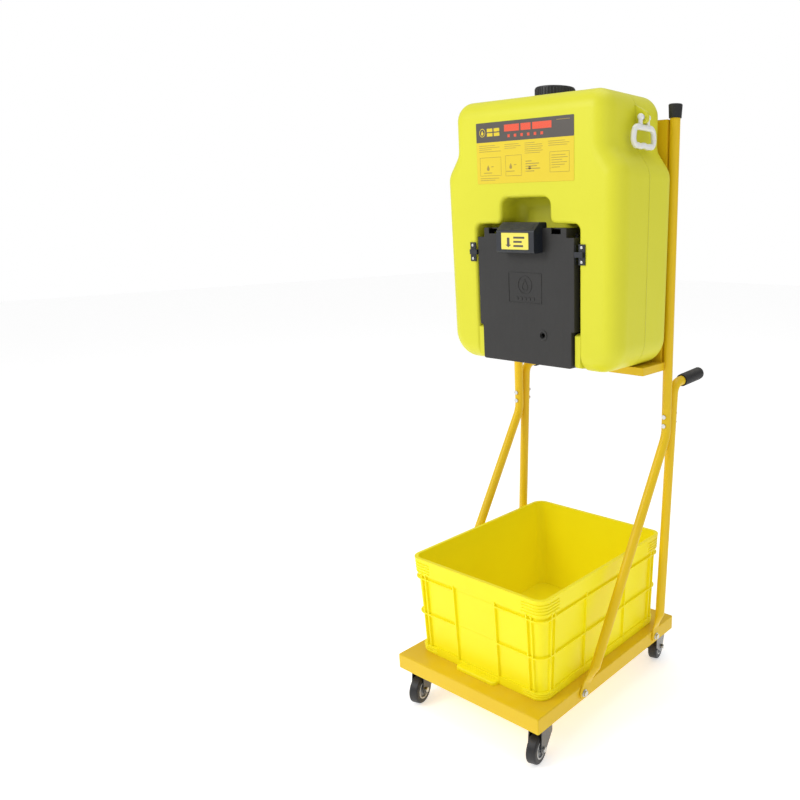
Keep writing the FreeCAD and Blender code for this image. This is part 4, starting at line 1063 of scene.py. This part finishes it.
@dataclass
class Tray:
    """The drop-down tray: charcoal cover and basin, pull, nozzles and fittings."""

    frame_w: float = 104 * MM
    frame_h: float = 73 * MM
    frame_mid: Flat = (1 * MM, 1090.5 * MM)
    line: float = 1.3 * MM
    raised: float = 0.9 * MM
    hole_r: float = 0.8 * MM

    def build(self) -> None:
        """Dress the tray and add its raised sign, pull plate, and dark discs of painted shade where the spray
        holes are.
        """
        dress(TRAY_SKIN, "tray_cover", "tray_basin", "nozzle_cone_*")
        dress(HANDLE_SKIN, "pull_handle", "latch_strikes")
        dress(SPRAY_SKIN, "spray_head_*")
        dress(VALVE_SKIN, "feed_tube_*", "valve_spool")
        dress(CAP_SKIN, "drain_bush")
        dress(ZINC, "tray_screws", "hinge_pins")
        PullPlate().build()
        self.raised_sign()
        for side in Side:
            self.painted_hole_shade(side)

    def raised_sign(self) -> None:
        """Mould a framed drop into the cover."""
        u, v = self.frame_mid
        face = Probe("tray_cover").front(u, v)
        back, front = face + 0.5 * MM, face - self.raised
        shape = Shaper()
        half_w, half_h = self.frame_w / 2, self.frame_h / 2
        outer = panel(u - half_w, u + half_w, v - half_h, v + half_h, 3 * MM)
        inner = panel(u - half_w + self.line, u + half_w - self.line, v - half_h + self.line,
                      v + half_h - self.line, 2 * MM)
        shape.band(outer, inner, back, front)
        middle = v + 7 * MM
        shape.band(circle(u, middle, 22 * MM), circle(u, middle, 20.4 * MM), back, front)
        big, small = drop(u, middle - 5 * MM, 9.5 * MM), drop(u, middle - 4.6 * MM, 7.6 * MM)
        shape.band(big, small, back, front)
        for k in range(5):
            left = u + (-31 + 13 * k) * MM
            shape.slab(panel(left, left + 9 * MM, v - 30 * MM, v - 22 * MM, 1 * MM), back, front)
        shape.finish("moulded_sign", [TRAY_SKIN], "tray", "tray_plastic")

    def painted_hole_shade(self, side: Side) -> None:
        """Add dark discs of painted shade where a spray head's holes are; no holes are cut.

        Args:
            side: The head's hand.
        """
        node = side.node("spray_head")
        probe = Probe(node)
        low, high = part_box(node)
        middle = (low + high) / 2
        centre, normal = probe.hit(middle + Vector((0, 0.2, 0)), Vector((0, -1, 0)))
        u = normal.orthogonal().normalized()
        v = normal.cross(u)
        shape = Shaper()
        for ring, count in ((0.0, 1), (5.0, 6), (10.0, 12), (14.5, 18)):
            for k in range(count):
                angle = 2 * math.pi * k / count
                start = centre + (u * math.cos(angle) + v * math.sin(angle)) * ring * MM + normal * 0.02
                try:
                    point, out = probe.hit(start, -normal)
                except ValueError:
                    continue
                # Each hole is a thin dark disc on the surface, painted shade in place of a cut hole.
                shape.turned(point, out, [(-0.3 * MM, self.hole_r), (0.05 * MM, self.hole_r)], count=12)
        shape.finish(f"spray_holes_{side.name.lower()}", [HOLE_SHADE_PAINT], "tray", "spray_plastic")


@dataclass
class CatchBin:
    """The catch bin that stands loose on the deck, with stacked ridges round its corners."""

    ridge_h: float = 1.7 * MM
    ridge_proud: float = 2.2 * MM
    ridge_reach: float = 34 * MM
    corner: float = 29 * MM
    drops: tuple[float, ...] = (14 * MM, 22 * MM, 30 * MM, 38 * MM)
    rises: tuple[float, ...] = (6 * MM, 13 * MM, 19 * MM)
    plain_wall: Flat = (0.175, 0.22)

    def build(self) -> None:
        """Dress the bin and add its corner ridges."""
        dress(BIN_SKIN, "waste_bin")
        low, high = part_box("waste_bin")
        probe = Probe("waste_bin")
        shape = Shaper()
        for height in [high.z - fall for fall in self.drops] + [low.z + rise for rise in self.rises]:
            self.ridges(shape, probe, height, (low + high) / 2)
        shape.finish("bin_corner_ridges", [BIN_SKIN], "bin", "bin_plastic")

    def ridges(self, shape: Shaper, probe: Probe, height: float, middle: Vector) -> None:
        """Add one ridge round each corner at a height.

        Args:
            shape: The piece that takes the ridges.
            probe: Finds the bin's wall.
            height: The ridge's height.
            middle: The middle of the bin.
        """
        for hand_x in (1, -1):
            for hand_y in (1, -1):
                beside_x = Vector((middle.x + hand_x, middle.y + hand_y * self.plain_wall[1], height))
                beside_y = Vector((middle.x + hand_x * self.plain_wall[0], middle.y + hand_y, height))
                x = probe.hit(beside_x, Vector((-hand_x, 0, 0)))[0].x
                y = probe.hit(beside_y, Vector((0, -hand_y, 0)))[0].y
                centre = Vector((x - hand_x * self.corner, y - hand_y * self.corner, height))
                path = [Vector((x, centre.y - hand_y * self.ridge_reach, height))]
                for k in range(13):
                    angle = math.radians(90 * k / 12)
                    outward = Vector((hand_x * math.cos(angle), hand_y * math.sin(angle), 0))
                    path.append(centre + outward * self.corner)
                path.append(Vector((centre.x - hand_x * self.ridge_reach, y, height)))
                shape.sweep(path, Vector((0, 0, 1)), [(self.ridge_h, self.ridge_proud)] * len(path), count=12)


# ------------------------------------------------------------------ studio
@dataclass
class Lamp:
    """One soft area lamp that points at a target."""

    name: str
    place: Point
    power: float
    size: float
    target: Point = (0.0, 0.0, 0.8)

    def build(self) -> None:
        """Add the lamp."""
        data = bpy.data.lights.new(self.name, "AREA")
        data.energy = self.power
        data.shape = "DISK"
        data.size = self.size
        lamp = bpy.data.objects.new(self.name, data)
        lamp.location = self.place
        way = Vector(self.target) - Vector(self.place)
        lamp.rotation_euler = way.to_track_quat("-Z", "Y").to_euler()
        bpy.context.scene.collection.objects.link(lamp)


@dataclass
class Studio:
    """Pale floor, soft light and the camera."""

    eye: Point = (1.2342, -1.5122, 1.2418)
    yaw: float = 36.499
    pitch: float = 15.178
    lens: float = 34.67
    shift: Flat = (-0.2285, 0.04)
    floor_half: float = 14.0
    ambient: float = 0.50
    lamps: tuple[Lamp, ...] = (
        Lamp("key_soft", (-1.4, -3.0, 3.0), 54.0, 1.8),
        Lamp("sheen_soft", (-2.2, -2.6, 1.5), 9.0, 2.4),
        Lamp("fill_soft", (3.2, -1.2, 2.2), 7.0, 2.4),
        Lamp("top_soft", (0.2, 0.4, 4.2), 36.0, 3.0),
    )

    def build(self) -> None:
        """Set up everything round the object."""
        self.floor()
        self.surround()
        for lamp in self.lamps:
            lamp.build()
        self.camera()
        bpy.context.scene.view_settings.view_transform = "Standard"

    def surround(self) -> None:
        """Light the object evenly from a white room, which itself shows as plain white."""
        world = bpy.data.worlds.new("studio_world")
        world.use_nodes = True
        tree = world.node_tree
        glow = tree.nodes["Background"]
        glow.inputs["Strength"].default_value = self.ambient
        glow.inputs["Color"].default_value = (1.0, 1.0, 1.0, 1.0)
        shown = tree.nodes.new("ShaderNodeBackground")
        shown.inputs["Color"].default_value = (1.0, 1.0, 1.0, 1.0)
        mix = tree.nodes.new("ShaderNodeMixShader")
        tree.links.new(tree.nodes.new("ShaderNodeLightPath").outputs["Is Camera Ray"], mix.inputs["Fac"])
        tree.links.new(glow.outputs[0], mix.inputs[1])
        tree.links.new(shown.outputs[0], mix.inputs[2])
        tree.links.new(mix.outputs[0], tree.nodes["World Output"].inputs["Surface"])
        bpy.context.scene.world = world

    def floor(self) -> None:
        """Lay the pale floor."""
        work = bmesh.new()
        bmesh.ops.create_grid(work, x_segments=8, y_segments=8, size=self.floor_half)
        mesh = bpy.data.meshes.new("pale_floor")
        work.to_mesh(mesh)
        work.free()
        mesh.materials.append(PALE_FLOOR.build())
        floor = bpy.data.objects.new("pale_floor", mesh)
        bpy.context.scene.collection.objects.link(floor)

    def camera(self) -> None:
        """Place the camera."""
        data = bpy.data.cameras.new("studio_camera")
        data.sensor_width = 36.0
        data.lens = self.lens
        data.shift_x, data.shift_y = self.shift
        camera = bpy.data.objects.new("studio_camera", data)
        camera.location = self.eye
        camera.rotation_euler = (math.radians(90 - self.pitch), 0.0, math.radians(self.yaw))
        bpy.context.scene.collection.objects.link(camera)
        bpy.context.scene.camera = camera


def main() -> None:
    """Build every sub-assembly, then the studio."""
    logging.basicConfig(level=logging.INFO, format="%(name)s: %(message)s")
    assemblies = [Trolley(), Casters(), Tank(), FillCap(), CarryRing(Side.LEFT), CarryRing(Side.RIGHT),
                  Tray(), CatchBin(), Studio()]
    for assembly in assemblies:
        assembly.build()
        log.info("finished %s", type(assembly).__name__)


if __name__ == "__main__":
    main()
